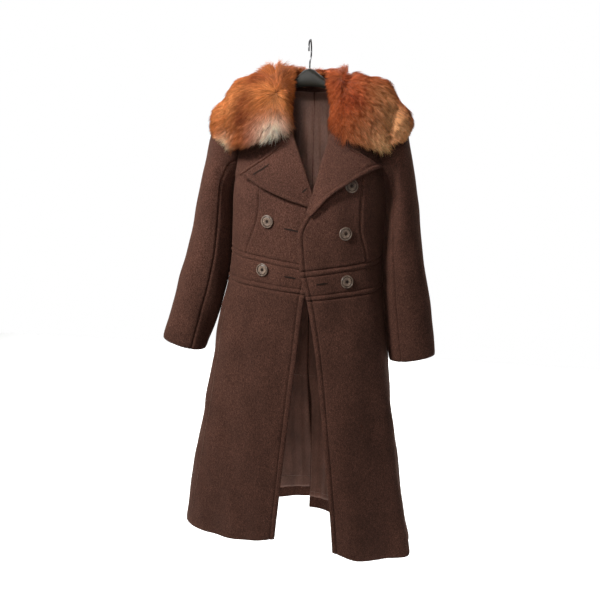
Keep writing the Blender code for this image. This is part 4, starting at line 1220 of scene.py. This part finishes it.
def strands(name, roots, ahead, up, length, width, lift, colour, tuft, rng):
    """Closed three-sided hairs. Each one's middle line starts at an angle of lift to the
    skin and bends over until it runs along it and droops; its tip is drawn towards the
    mean tip of its tuft by a share that grows with the square of the way along."""
    count = len(roots)
    t = HAIR_STEPS[None, :, None]
    start = ahead * np.cos(lift)[:, None] + up * np.sin(lift)[:, None]
    end = unit(ahead + up * np.sin(lift * 0.25)[:, None] + np.array([0, 0, -0.35]))
    long = length[:, None, None]
    line = roots[:, None] + long * (start[:, None] * (t - t**2 / 2) + end[:, None] * t**2 / 2)
    tufts = tuft.max() + 1
    held = np.maximum(np.bincount(tuft, minlength=tufts), 1)[:, None]
    tip = np.stack([np.bincount(tuft, line[:, -1, i], tufts) for i in range(3)], -1) / held
    line += (tip[tuft] - line[:, -1])[:, None] * TUFT_PULL * t**1.6
    side = unit(np.cross(ahead, up) + rng.normal(0, 0.35, (count, 3)))
    other = np.cross(side, ahead)
    size = (width[:, None] * HAIR_WIDTH[None, :3])[..., None] / 2
    points = []
    for angle in np.radians([90, 210, 330]):
        off = side * math.cos(angle) + other * math.sin(angle)
        points.append(line[:, :3] + off[:, None] * size)
    rings = np.stack(points, 2)
    all_points = np.concatenate([rings.reshape(count, 9, 3), line[:, 3:]], 1)
    template = [[0, 2, 1]]
    for ring in (0, 3):
        for a, b in ((0, 1), (1, 2), (2, 0)):
            template.append([ring + a, ring + b, ring + b + 3])
            template.append([ring + a, ring + b + 3, ring + a + 3])
    template += [[6, 7, 9], [7, 8, 9], [8, 6, 9]]
    faces = (np.array(template)[None] + 10 * np.arange(count)[:, None, None]).reshape(-1, 3)
    flat = all_points.reshape(-1, 3)
    a, b, c = (flat[faces[:, i]] for i in range(3))
    if (np.cross(a, b) * c).sum() < 0:
        faces = faces[:, ::-1]
    made = add_piece(name, flat, faces, FOX_HAIR, "fur")
    # painted shade at the root and painted light at the tip of each hair
    shade = np.repeat(HAIR_SHADE, [3, 3, 3, 1])[None, :, None]
    paint = np.ones((count, 10, 4), np.float32)
    paint[..., :3] = np.clip(colour[:, None] * shade, 0, 1)
    layer = made.data.color_attributes.new("hair", "FLOAT_COLOR", "POINT")
    layer.data.foreach_set("color", paint.ravel())
    return made


# Where the hair parts: the share of the way across the collar, and the whorls, each a
# station and a share, from which the hair runs out all round within WHORL_REACH.
CREST = 0.3
WHORLS = ((2.78, 0.3), (16.3, 0.15))
WHORL_REACH = 13 * CM
HAIRS = {"left": 21000, "back": 15000, "right": 21000}
UNDER_HAIRS = 0.35
TUFT = 16  # hairs in a tuft
OVERHANG = 6 * MM  # how far the longest hair reaches past the skin's outer edge
INNER_OVERHANG = 15 * MM


def nearest_tuft(roots, rng):
    """For each hair the tuft that it belongs to: the nearest of some hairs drawn by lot."""
    centres = roots[rng.choice(len(roots), len(roots) // TUFT, replace=False)]
    size = (centres**2).sum(1)
    found = [(size - 2 * some @ centres.T).argmin(1) for some in np.array_split(roots, 20)]
    return np.concatenate(found), len(centres)


def add_fur():
    """The collar's pelt in three pieces, each with two pieces of hair."""
    under, over, stand_outer, stand_inner = collar_surfaces()
    stations = len(COLLAR_FRONT["rise"])
    total = len(over)
    seam = round((stations - 1) / (total - 1) * (FUR_ROWS - 1))
    over = relaxed(smooth_grid(over, FUR_ROWS, FUR_FULL), 14)[:, :FUR_COLUMNS]
    under = smooth_grid(under, FUR_ROWS, FUR_FULL)[:, :FUR_COLUMNS]
    row = np.arange(FUR_ROWS)
    eased = sum(np.exp(-(((row - at) / 24) ** 2)) for at in (seam, FUR_ROWS - 1 - seam))
    eased = np.clip(eased, 0, 1)[1:-1, None, None]
    for _ in range(260):
        for grid in (over, under):
            grid[1:-1] += eased * ((grid[:-2] + grid[2:]) / 4 - grid[1:-1] / 2)
    for *place, reach, rise in FUR_DRESSING:
        away = np.linalg.norm(over - np.array(place) * CM, axis=-1) / (reach * CM)
        over[..., 2] += rise * CM * np.exp(-(away**2))
    for grid in (over, under):
        beyond = np.clip(np.abs(grid[..., 0]) - FUR_NARROW_FROM, 0, None)
        grid[..., 0] -= np.where(grid[..., 0] < 0, -0.2, 0.08) * beyond
        grid[..., 2] += 0.5 * np.clip(FUR_SHORT_BELOW - grid[..., 2], 0, None)
    pelt = under + (over - under) * PELT
    parts = {
        "left": slice(0, seam + 1),
        "back": slice(seam, FUR_ROWS - seam),
        "right": slice(FUR_ROWS - seam - 1, FUR_ROWS),
    }
    centre = np.array([BODY_CENTRE, 0, -16 * CM])
    normals = grid_normals(pelt, centre)
    length = np.linalg.norm(np.diff(pelt, axis=1), axis=-1)
    across = np.concatenate([np.zeros((FUR_ROWS, 1)), np.cumsum(length, 1)], 1)
    full = across[:, -1:]
    across = across / full
    out = unit(np.gradient(pelt, axis=1))
    rng = np.random.default_rng(11)
    for name, part in parts.items():
        body = wall(pelt[part], under[part], 2 * MM)
        made = add_piece(f"fur_{name}_pelt", *body, FOX_SKIN, "fur", [f"fur_collar_{name}"])
        skin = pelt[part]
        corner = skin[:-1, :-1]
        along_row = skin[1:, :-1] - corner
        along_column = skin[:-1, 1:] - corner
        areas = np.linalg.norm(np.cross(along_row, along_column), axis=-1)
        chance = (areas / areas.sum()).ravel()
        count = HAIRS[name]
        cell = rng.choice(len(chance), count, p=chance)
        i, j = np.divmod(cell, areas.shape[1])
        a, b = rng.random((2, count, 1))
        roots = corner[i, j] + along_row[i, j] * a + along_column[i, j] * b
        up = normals[part][i, j]
        where = across[part][i, j][:, None]
        ahead = out[part][i, j] * np.clip((where - CREST) * 8, -1, 1) * 0.6
        for station, share in WHORLS:
            at = station / (total - 1) * (FUR_ROWS - 1)
            away = roots - pelt[round(at), round(share * (FUR_COLUMNS - 1))]
            far = np.linalg.norm(away, axis=1)[:, None]
            ahead = ahead + away / np.maximum(far, 5 * MM) * np.exp(-((far / WHORL_REACH) ** 2))
        ahead = ahead + np.array([0, 0, -0.3]) * np.clip((where - CREST) * 4, 0, 1)
        tuft, tufts = nearest_tuft(roots, rng)
        shift = rng.normal(0, 0.17, (tufts, 3))
        ahead = ahead + shift[tuft] + rng.normal(0, 0.1, (count, 3))
        ahead -= up * (ahead * up).sum(1)[:, None]
        ahead /= np.maximum(np.linalg.norm(ahead, axis=1), 1e-6)[:, None]
        short = rng.random(count) < UNDER_HAIRS
        long = rng.uniform(26, 38, count) * (0.88 + 0.24 * rng.random(tufts)[tuft])
        long = np.where(short, long * 0.6, long) * MM
        inner = where[:, 0] < CREST
        room = np.where(inner, where[:, 0], 1 - where[:, 0]) * full[part][i, 0]
        past = np.where(inner, INNER_OVERHANG, OVERHANG) * rng.uniform(0.4, 1.2, count)
        long = np.minimum(long, room + past + 3 * MM)
        wide = np.where(short, 0.8, 0.95) * rng.uniform(0.7, 1.2, count) * MM
        lift = np.radians(rng.uniform(9, 27, count) + 8 * (rng.random(tufts)[tuft] - 0.5))
        tint = fur_colour(roots + ahead * 15 * MM) * HAIR_BRIGHT
        tint = tint * (0.8 + 0.36 * rng.random(tufts)[tuft])[:, None]
        tint = tint * rng.uniform(0.62, 1.32, (count, 1))
        half = count // 2
        order = np.argsort(across[part][i, j])
        for number, chosen in (("inner", order[:half]), ("outer", order[half:])):
            strands(
                f"fur_{name}_hair_{number}",
                roots[chosen],
                ahead[chosen],
                up[chosen],
                long[chosen],
                wide[chosen],
                lift[chosen],
                tint[chosen],
                tuft[chosen],
                rng,
            )
    outer, inner = (smooth_grid(face, 60, 14) for face in (stand_outer, stand_inner))
    body = wall(outer, inner, 1 * MM)
    made = add_piece("collar_stand_cloth", *body, WOOL_CLOTH, "wool", ["collar_stand"])


VENT_ROWS = (7.05, 10.97)
VENT_LAP = 42 * MM


def add_vent():
    """The vent's facing: a strip down the back that is sewn to the left half and laps over
    the right half, so that the slit between them stays shut."""
    rows = np.linspace(*VENT_ROWS, 130)[:, None]
    along = np.linspace(-9 * MM, VENT_LAP, 22)[None]
    along, rows = np.broadcast_arrays(along, rows)
    left = panel_point("back_left", np.maximum(-along, 0) / width_at("back_left", rows), rows)
    right = panel_point("back_right", np.maximum(along, 0) / width_at("back_right", rows), rows)
    points = np.where(along[..., None] < 0, left, right)
    shift = panel_point("back_left", 0 * along, rows) - panel_point("back_right", 0 * along, rows)
    points += np.where(along[..., None] < 0, 0, shift * np.exp(-along[..., None] / (15 * MM)))
    normals = grid_normals(points, body_centre(points))
    away_from = np.clip((along + 9 * MM) / (9 * MM), 0, 1)
    outer = points + normals * (sway(points) + away_from * 3.4 * MM - 0.4 * MM)[..., None]
    inner = outer - normals * 2.2 * MM
    made = add_piece("vent_facing", *wall(outer, inner, 0.6 * MM), WOOL_CLOTH, "wool")


# The linings: panel, first and last place along it, first and last row, and whether a
# solid of the same name stands for it.
LINING_PIECES = {
    "back": ("back", 0.006, 0.995, 0.12, 5.92, True),
    "side": ("front", 0.42, 0.995, 0.3, 5.92, False),
    "skirt_back": ("back", 0.006, 0.995, 6.05, 10.72, True),
    "skirt_front": ("front", 0.18, 0.995, 6.05, 10.72, True),
}


def crinkle(points):
    """The height of the lining's small folds: three waves that run mostly upright."""
    x, y, z = (points[..., i] for i in range(3))
    around = np.arctan2(y, x) * 0.2
    waves = 1.2 * np.sin(2 * math.pi * (around * 21 + 1.2 * z) + 3 * np.sin(9 * z))
    waves += 0.8 * np.sin(2 * math.pi * (around * 43 - 2.5 * z))
    waves += 0.45 * np.sin(2 * math.pi * (around * 60 + 14 * z))
    return waves * MM


def add_linings():
    for side in ("left", "right"):
        for name, (half, first, last, top, bottom, whole) in LINING_PIECES.items():
            panel = f"{half}_{side}"
            row = np.linspace(top, bottom, 70)[:, None]
            u = np.linspace(first, last, 60)[None]
            u, row = np.broadcast_arrays(u, row)
            points = panel_point(panel, u, row)
            normals = grid_normals(points, body_centre(points))
            seated = np.clip((row - 0.5) / 1.2, 0, 1)
            free = np.clip((row - top) / 0.5, 0, 1)
            back = WOOL + LINING_SEAT + (LINING_SET_BACK - LINING_SEAT) * seated
            outer = points - normals * (back - crinkle(points) * free * seated)[..., None]
            body = wall(outer, outer - normals * SATIN_THICK, 0.2 * MM)
            node = f"lining_{name}_{side}"
            made = add_piece(f"{node}_cloth", *body, SATIN, "satin", [node] if whole else [])


def add_sleeve_linings():
    rings, turns = np.linspace(0.3, 7.6, 50), np.linspace(0, 2 * math.pi, 61)
    for side, sleeve in SLEEVES.items():
        ring, turn, points, normals = sleeve_grid(sleeve, rings, turns)
        wave = 0.8 * MM * np.sin(3 * turn + 9 * ring)
        outer = points - normals * (WOOL + 4 * MM - wave)[..., None]
        inner = outer - normals * SATIN_THICK
        outer[:, -1], inner[:, -1] = outer[:, 0], inner[:, 0]
        made = add_piece(f"lining_sleeve_{side}_cloth", *wall(outer, inner, 0), SATIN, "satin")


def on_cloth(panel, u, row, rise):
    """Points on a panel's cloth and the directions out of it, raised by rise."""
    points = panel_point(panel, u, row)
    normals = panel_normal(panel, u[..., None], row[..., None]).reshape(points.shape)
    return points + normals * (sway(points) + rise)[..., None], normals


STITCH_PITCH = 4.2 * MM
STITCH_LENGTH = 3.3 * MM
STITCH_THICK = 0.55 * MM
STITCH_PROFILE = ((-0.5, 0.35), (-0.3, 0.95), (0.3, 0.95), (0.5, 0.35))


def stitch_row(points, normals):
    """Stitches along a line, each a four-sided spindle sunk to half its thickness."""
    length = lengths_along(points)
    at = np.arange(STITCH_PITCH / 2, length[-1], STITCH_PITCH)
    before, middle, after = (read_line(at + step, length, points) for step in (-MM, 0, MM))
    ahead = unit(after - before)
    up = read_line(at, length, normals)
    side = np.cross(ahead, up)
    rings = []
    for along, size in STITCH_PROFILE:
        for angle in np.radians([45, 135, 225, 315]):
            off = side * math.cos(angle) + up * math.sin(angle)
            rings.append(middle + ahead * along * STITCH_LENGTH + off * size * STITCH_THICK)
    rings = np.stack(rings, 1)
    faces = []
    for ring in (0, 4, 8):
        for a in range(4):
            b = (a + 1) % 4
            faces.append([ring + a, ring + b, ring + b + 4, ring + a + 4])
    faces += [[3, 2, 1, 0], [12, 13, 14, 15]]
    count = len(middle)
    faces = (np.array(faces)[None] + 16 * np.arange(count)[:, None, None]).reshape(-1, 4)
    return rings.reshape(-1, 3), faces


def joined(parts):
    """Several meshes as one."""
    points, faces, start = [], [], 0
    for some, these in parts:
        points.append(some)
        faces.append(np.asarray(these) + start)
        start += len(some)
    return np.concatenate(points), np.concatenate(faces)


def facing_out(points, faces):
    """The same faces, turned if the closed mesh is inside out."""
    quads = np.asarray(faces)
    middle = points.mean(0)
    a, b, c = (points[quads[:, i]] - middle for i in range(3))
    volume = (np.cross(a, b) * c).sum()
    if quads.shape[1] == 4:
        d = points[quads[:, 3]] - middle
        volume += (np.cross(a, c) * d).sum()
    return points, quads if volume > 0 else quads[:, ::-1]


def add_stitches():
    """Topstitching 12 mm in from the front edges, inside the waistband's seams and round
    the lapels."""
    inset = STITCH_IN * MM
    for side in ("left", "right"):
        lines = []
        panel = f"front_{side}"
        rows = np.linspace(4.05 if side == "left" else 4.25, 10.97, 500)
        lines.append((panel, inset / width_at(panel, rows), rows, -1.5 * MM))
        for half in ("front", "back"):
            panel = f"{half}_{side}"
            u = np.linspace(0.01, 0.99, 160)
            band = panel_point(panel, u, 0 * u + 6) - panel_point(panel, u, 0 * u + 7)
            tall = np.linalg.norm(band, axis=-1)
            for row in (6 + inset / tall, 7 - inset / tall):
                lines.append((panel, u, row, -1.5 * MM))
        made = [facing_out(*stitch_row(*on_cloth(*line))) for line in lines]
        down = np.linspace(0, 1, 60)
        across = np.linspace(0.02, 1, 60)
        grid, seam = lapel_surface(side, down, across)
        lapel = grid[:, seam:]
        normals = grid_normals(lapel, lapel + np.array([0, 1, 0]))
        lapel = lapel - normals * 1.3 * MM
        size = np.linalg.norm(lapel[:, -1] - lapel[:, 0], axis=-1)
        share = np.clip(1 - inset / np.maximum(size, 1e-6), 0, 1)
        keep = np.arange(60)[(size > 2.2 * inset) & (down > inset / LAPEL_LONG)]
        column = share[keep] * 59
        low = np.minimum(column.astype(int), 58)
        part = (column - low)[:, None]
        edge = lapel[keep, low] * (1 - part) + lapel[keep, low + 1] * part
        made.append(facing_out(*stitch_row(edge, normals[keep, low])))
        top = round(inset / LAPEL_LONG * 59)
        stop = int(share[top] * 59)
        made.append(facing_out(*stitch_row(lapel[top, 12:stop], normals[top, 12:stop])))
        add_piece(f"topstitching_{side}", *joined(made), THREAD, "wool")


# Rows of stitches across the lining: panel, first and last u, and row.
LINING_STITCHES = (
    ("back_left", 0.01, 0.9, 10.43),
    ("back_right", 0.01, 0.9, 10.6),
    ("back_left", 0.01, 0.6, 8.65),
    ("back_right", 0.01, 0.6, 8.65),
)


def add_lining_stitches():
    """Blind stitches on the lining's inner side, where it shows in the open skirt, and the
    pressed edge of the left side seam, drawn in paler wool as a painted highlight."""
    made = []
    for panel, first, last, row in LINING_STITCHES:
        u = np.linspace(first, last, 80)
        points = panel_point(panel, u, 0 * u + row)
        normals = panel_normal(panel, u[:, None], 0 * u[:, None] + row).reshape(points.shape)
        depth = WOOL + LINING_SET_BACK + 0.9 * MM - crinkle(points)
        made.append(facing_out(*stitch_row(points - normals * depth[:, None], -normals)))
    add_piece("lining_stitches", *joined(made), LINING_THREAD, "satin")
    # the side seam's pressed edge: a thin tube of the lighter wool, a painted highlight where the
    # edge stands proud
    row = np.linspace(7.6, 10.6, 90)
    u = np.interp(row, [8.1, 8.65, 10, 10.5], [0.75, 0.728, 0.72, 0.73])
    edge, _ = on_cloth("front_left", u, row, 0.3 * MM)
    thin = 0.9 * MM * np.sin(math.pi * np.linspace(0.04, 0.96, 90)) ** 0.3
    add_piece("side_seam_edge", *tube(edge, thin), SEAM_HIGHLIGHT_WOOL, "wool")


# Buttonholes: panel, u and row of the round end and of the other end, and on the left
# lapel the share of the way down it and across it.
BUTTONHOLES = (
    ("front_left", 0.14, 4.86, 0.262, 4.77),
    ("front_left", 0.112, 6.525, 0.212, 6.525),
    ("front_right", 0.124, 6.485, 0.225, 6.48),
    ("lapel", 0.175, 0.885, 0.15, 0.575),
    ("lapel", 0.745, 0.38, 0.74, 0.08),
)
LOOP_SIDES = 8


def ring_faces(rings, sides, closed=False):
    """The faces between rings of points, and the numbers of the points and those beside."""
    index = np.arange(rings * sides).reshape(rings, sides)
    index = np.concatenate([index, index[:1]]) if closed else index
    beside = np.roll(index, -1, 1)
    faces = np.stack([index[:-1], beside[:-1], beside[1:], index[1:]], -1).reshape(-1, 4)
    return faces, index, beside


def tube(path, radius, closed=False):
    """A round tube along a path: circles square to the path's own direction."""
    ahead = np.roll(path, -1, 0) - np.roll(path, 1, 0) if closed else np.gradient(path, axis=0)
    ahead = unit(ahead)
    side = unit(np.cross(ahead, [0.31, 0.87, 0.38]))
    up = np.cross(side, ahead)
    angle = (np.arange(LOOP_SIDES) * 2 * math.pi / LOOP_SIDES)[None, :, None]
    ring = side[:, None] * np.cos(angle) + up[:, None] * np.sin(angle)
    points = path[:, None] + ring * np.reshape(radius, (-1, 1, 1))
    faces, index, _ = ring_faces(len(path), LOOP_SIDES, closed)
    if not closed:
        first = [index[0, [0, k + 2, k + 1, k]] for k in (1, 3, 5)]
        last = [index[-1, [0, k, k + 1, k + 2]] for k in (1, 3, 5)]
        faces = np.concatenate([faces, first, last])
    return facing_out(points.reshape(-1, 3), faces)


def on_lapel(down, across, rise):
    """Points on the left lapel and the directions out of it, raised by rise."""
    found = []
    for shift in ((0, 0), (0.01, 0), (0, 0.01)):
        places = np.stack([down + shift[0], across + shift[1]], -1)[..., None]
        grids = [lapel_surface("left", *place) for place in places]
        found.append(np.array([grid[0, seam] for grid, seam in grids]))
    normals = unit(np.cross(found[1] - found[0], found[2] - found[0]))
    normals *= -np.sign(normals[:, 1:2])
    return found[0] + normals * rise, normals


def add_buttonholes():
    """Each is a corded loop of twist, 26 mm long with a round end, over a near-black tube in the
    slit that is painted shade.
    """
    loops, slits = [], []
    for panel, u0, row0, u1, row1 in BUTTONHOLES:
        share = np.linspace(0, 2 * math.pi, 40, endpoint=False)
        along = (1 - np.cos(share)) / 2
        first, second = u0 + (u1 - u0) * along, row0 + (row1 - row0) * along
        if panel == "lapel":
            ends, normals = on_lapel(first, second, 0.2 * MM)
        else:
            ends, normals = on_cloth(panel, first, second, 0.4 * MM)
        line = ends[20] - ends[0]
        side = unit(np.cross(line, normals))
        apart = np.sin(share) * (1.3 + 0.9 * np.exp(-((along / 0.16) ** 2))) * MM
        loops.append(tube(ends + side * apart[:, None], 0.75 * MM, closed=True))
        # a near-black tube sunk into the slit, painted shade where the cut opens
        middle = slice(1, 20)
        slits.append(tube(ends[middle] - normals[middle] * 0.2 * MM, 0.55 * MM))
    add_piece("buttonhole_loops", *joined(loops), LOOP_THREAD, "wool")
    add_piece("buttonhole_slits", *joined(slits), SLIT_SHADE, "wool")


BUTTON_CURVE = table(
    "r z",
    (0, 0.1),
    (0.8, 0.06),
    (1.34, 0.08),
    (1.46, 0.14),
    (1.5, 0.24),
    (1.48, 0.34),
    (1.4, 0.42),
    (1.31, 0.44),
    (1.22, 0.42),
    (1.17, 0.35),
    (1.13, 0.29),
    (1.09, 0.29),
    (1.04, 0.33),
    (0.96, 0.35),
    (0.84, 0.34),
    (0.7, 0.31),
    (0.55, 0.28),
    (0.42, 0.26),
    (0.3, 0.25),
    (0.14, 0.25),
    (0, 0.25),
)
BUTTON_TURNS = 56
BORE_CURVE = table("r z", (0, -1), (0.115, -1), (0.115, 1), (0, 1))
BORE_TURNS = 20
BORE_OUT = 2.4 * MM  # from the button's middle to the middle of each bore


def lathe(profile, turns):
    """A profile of radius and height turned round Z, its first and last points on the axis."""
    angle = np.arange(turns) * 2 * math.pi / turns
    r = profile["r"][1:-1, None]
    z = profile["z"][1:-1, None]
    rings = np.stack([r * np.cos(angle), r * np.sin(angle), z + 0 * angle], -1)
    poles = [[0, 0, profile["z"][0]], [0, 0, profile["z"][-1]]]
    points = np.concatenate([rings.reshape(-1, 3), poles])
    walls, index, beside = ring_faces(len(r), turns)
    low = [[len(points) - 2, b, a] for a, b in zip(index[0], beside[0])]
    high = [[len(points) - 1, a, b] for a, b in zip(index[-1], beside[-1])]
    return points, walls.tolist() + low + high


def turned_part(name, profile, turns, shift):
    """A turned profile as an object, moved sideways by shift."""
    points, faces = lathe(profile, turns)
    mesh = bpy.data.meshes.new(name)
    mesh.from_pydata((points + shift).tolist(), [], faces)
    return put(name, mesh)


def button_mesh():
    """One button with four bores, as triangles."""
    disc = turned_part("button_curve", BUTTON_CURVE, BUTTON_TURNS, np.zeros(3))
    spare = [disc]
    for i in range(4):
        angle = math.radians(45 + 90 * i)
        shift = np.array([math.cos(angle), math.sin(angle), 0]) * BORE_OUT
        cutter = turned_part(f"button_bore_{i}", BORE_CURVE, BORE_TURNS, shift)
        cut = disc.modifiers.new(cutter.name, "BOOLEAN")
        cut.operation = "DIFFERENCE"
        cut.object = cutter
        spare.append(cutter)
    bpy.context.view_layer.update()
    bored = disc.evaluated_get(bpy.context.evaluated_depsgraph_get())
    ready = bpy.data.meshes.new_from_object(bored)
    ready.calc_loop_triangles()
    where = np.empty(len(ready.vertices) * 3, np.float32)
    ready.vertices.foreach_get("co", where)
    corners = np.empty(len(ready.loop_triangles) * 3, np.int32)
    ready.loop_triangles.foreach_get("vertices", corners)
    for item in spare:
        bpy.data.objects.remove(item, do_unlink=True)
    return where.reshape(-1, 3).astype(float), corners.reshape(-1, 3)


def add_buttons():
    """Horn buttons, each held by two bars of thread through its four bores."""
    shape, faces = button_mesh()
    threads = []
    for name, (panel, u, row) in BUTTONS.items():
        place, normal = on_cloth(panel, np.array([u]), np.array([row]), 0.2 * MM)
        normal = normal[0]
        across = unit(np.cross([0, 0, 1.0], normal))
        up = np.cross(normal, across)
        axes = np.stack([across, up, normal])
        made = add_piece(name + "_horn", shape @ axes + place[0], faces, HORN, "horn", [name])
        # painted light and shade: the raised rings stay pale as painted highlight; the groove, the
        # middle round the bores, the underside and the outer edge are darkened as painted shade
        wear_and_painted_light = made.data.attributes.new("wear_and_painted_light", "FLOAT", "POINT")
        away = np.linalg.norm(shape[:, :2], axis=1) / CM
        pale = 1 - np.exp(-(((away - 1.11) / 0.09) ** 2)) - np.exp(-((away / 0.42) ** 4))
        pale = np.where(shape[:, 2] < 2.2 * MM, 0.1, pale) * np.clip((1.6 - away) * 4, 0.2, 1)
        wear_and_painted_light.data.foreach_set("value", np.clip(pale, 0, 1).astype(np.float32))
        made.data.set_sharp_from_angle(angle=math.radians(40))
        for sign in (-1, 1):
            reach = BORE_OUT / math.sqrt(2)
            t = np.linspace(-1, 1, 9)
            bar = np.stack([t * reach, 0 * t + sign * reach, (3.1 - 2.6 * np.abs(t) ** 6) * MM], -1)
            threads.append(tube(bar @ axes + place[0], 0.5 * MM))
    add_piece("button_threads", *joined(threads), THREAD, "horn")


def add_hanger():
    """The hanger's body, a rounded section carried from tip to tip, and its wire hook."""
    fine = np.linspace(0, 17.3 * CM, 60)
    columns = [column_at(HANGER, "x", name, fine) for name in ("top", "bottom", "half")]
    right = np.stack([fine, *columns], -1)
    left = right[:0:-1] * [-1, 1, 1, 1]
    x, top, bottom, half = np.concatenate([left, right]).T[..., None]
    angle = np.arange(HANGER_SIDES) * 2 * math.pi / HANGER_SIDES
    squared = np.sign(np.cos(angle)) * np.abs(np.cos(angle)) ** HANGER_ROUND
    upright = (top + bottom) / 2 + (top - bottom) / 2 * np.sin(angle)
    rings = np.stack([x + 0 * angle, half * squared, upright], -1)
    faces, index, beside = ring_faces(len(rings), HANGER_SIDES)
    points = rings.reshape(-1, 3)
    tips = [points[index[0]].mean(0), points[index[-1]].mean(0)]
    fans = [[len(points), b, a, a] for a, b in zip(index[0], beside[0])]
    fans += [[len(points) + 1, a, b, b] for a, b in zip(index[-1], beside[-1])]
    body = triangles_of(np.concatenate([points, tips]), np.concatenate([faces, fans]))
    body = facing_out(*body)
    add_piece("hanger_moulding", *body, BLACK_PLASTIC, "polypropylene", ["hanger_body"])
    arc = np.linspace(HOOK_START, HOOK_END, 60)
    bend = HOOK_RADIUS * np.stack([np.cos(arc), np.sin(arc)], -1)
    bend[:, 1] += HOOK_WIRE - HOOK_RADIUS
    path = np.concatenate([np.stack([HOOK_STEM["y"], HOOK_STEM["z"]], -1), bend])
    at = np.linspace(0, len(path) - 1, 110)
    path = {"at": np.arange(len(path)), "y": path[:, 0], "z": path[:, 1]}
    path = np.stack([0 * at, column_at(path, "at", "y", at), column_at(path, "at", "z", at)], -1)
    add_piece("hook_wire", *tube(path, HOOK_WIRE), WIRE, "steel_wire", ["hanger_hook"])


def triangles_of(points, faces):
    """Quads as triangles, leaving out those with no area."""
    faces = np.asarray(faces)
    both = np.concatenate([faces[:, [0, 1, 2]], faces[:, [0, 2, 3]]])
    whole = (both[:, 0] != both[:, 1]) & (both[:, 1] != both[:, 2]) & (both[:, 0] != both[:, 2])
    return points, both[whole]


def add_stage():
    """A plain pale floor, flat, under a white studio."""
    y = np.array([-0.35, 1.0, 2.4])
    z = 0 * y - 1.42
    x = np.array([-2.6, 2.6])
    grid = np.stack(np.broadcast_arrays(x[None], y[:, None], z[:, None]), -1).reshape(-1, 3)
    mesh = bpy.data.meshes.new("floor")
    mesh.from_pydata(grid.tolist(), [], grid_faces(len(y), 2).tolist())
    mesh.shade_smooth()
    paper, tree, shader = blank("matt_paper", Roughness=0.9, Specular_IOR_Level=0.1)
    grain = noise(tree, stretched(tree, 1, 1, 1), 5 * MM, 2)
    colour = mixed(tree, spread(tree, grain, 0, 1), "F4F4F3", "FBFBFA")
    tree.links.new(colour, shader.inputs["Base Color"])
    shader.inputs["Emission Color"].default_value = (1, 1, 1, 1)
    shader.inputs["Emission Strength"].default_value = 0.5
    mesh.materials.append(paper)
    floor = put("floor", mesh)


# The camera's place in metres, its angles in degrees, and its focal length in millimetres
# behind a sensor 36 mm wide.
CAMERA = (0.20042884, -1.48654912, -0.31242093)
CAMERA_TURN = 8.0
CAMERA_PITCH = 11.0
CAMERA_ROLL = 1.5
CAMERA_LENS = 37.2


def placed(right, up, look, place):
    """The turn and place of a camera or lamp, which looks down its own -Z."""
    return Matrix([[right[i], up[i], -look[i], place[i]] for i in range(3)] + [[0, 0, 0, 1]])


def add_camera():
    """The camera stands to the right of the coat's middle, looks a little down and leans."""
    turn, pitch, roll = (math.radians(v) for v in (CAMERA_TURN, CAMERA_PITCH, CAMERA_ROLL))
    level = np.array([math.cos(turn), math.sin(turn), 0])
    flat = np.array([-math.sin(turn), math.cos(turn), 0])
    look = flat * math.cos(pitch) - np.array([0, 0, math.sin(pitch)])
    over = np.cross(level, look)
    right = math.cos(roll) * level + math.sin(roll) * over
    up = -math.sin(roll) * level + math.cos(roll) * over
    data = bpy.data.cameras.new("camera")
    data.lens = CAMERA_LENS
    data.sensor_width = 36.0
    data.clip_end = 50
    camera = put("camera", data)
    camera.matrix_world = placed(right, up, look, CAMERA)
    bpy.context.scene.camera = camera


# Soft lights: name, place, the point that it faces, side in metres, power in watts, and
# the angle of its beam.
LIGHTS = (
    ("key", (-0.95, -1.1, 0.48), (-0.1, 0, -0.6), 0.35, 33, 180),
    ("collar", (-0.1, -1.9, 0.55), (0, 0.03, -0.09), 0.4, 0.43, 22),
    ("fill", (0.1, -2.2, -0.2), (0.05, 0, -0.65), 0.6, 2.6, 110),
    ("crown", (-0.3, 0.3, 1.9), (0, 0, -0.1), 0.8, 2.5, 60),
    ("rear", (-0.6, 1.8, 0.9), (0, 0, -0.5), 1.2, 12, 180),
    ("floor", (0, 1.7, 0.9), (0, 1.6, -1.4), 2.4, 75, 150),
)
STUDIO_LIGHT = 0.05  # the white room shows behind the coat, but lights it only a little


def add_lights():
    for name, place, aim, side, power, beam in LIGHTS:
        data = bpy.data.lights.new(name, "AREA")
        data.size = side
        data.spread = math.radians(beam)
        data.energy = power
        look = unit(np.array(aim, float) - np.array(place))
        right = unit(np.cross(look, [0, 0, 1.0]))
        put(name, data).matrix_world = placed(right, np.cross(right, look), look, place)
    world = bpy.data.worlds.new("studio")
    world.use_nodes = True
    tree = world.node_tree
    dim = tree.nodes["Background"]
    white = tree.nodes.new("ShaderNodeBackground")
    for sky, strength in ((dim, STUDIO_LIGHT), (white, 1.0)):
        sky.inputs["Color"].default_value = (1, 1, 1, 1)
        sky.inputs["Strength"].default_value = strength
    seen = tree.nodes.new("ShaderNodeLightPath").outputs["Is Camera Ray"]
    both = add(tree, "ShaderNodeMixShader", {}, {0: seen, 1: dim.outputs[0], 2: white.outputs[0]})
    tree.links.new(both.outputs[0], tree.nodes["World Output"].inputs["Surface"])
    bpy.context.scene.world = world
    bpy.context.scene.view_settings.view_transform = "Standard"


def main():
    add_camera()
    add_lights()
    add_stage()
    add_body()
    add_sleeves()
    add_lapels()
    add_vent()
    add_linings()
    add_sleeve_linings()
    add_fur()
    add_buttons()
    add_buttonholes()
    add_stitches()
    add_lining_stitches()
    add_hanger()


main()
bpy.context.view_layer.update()
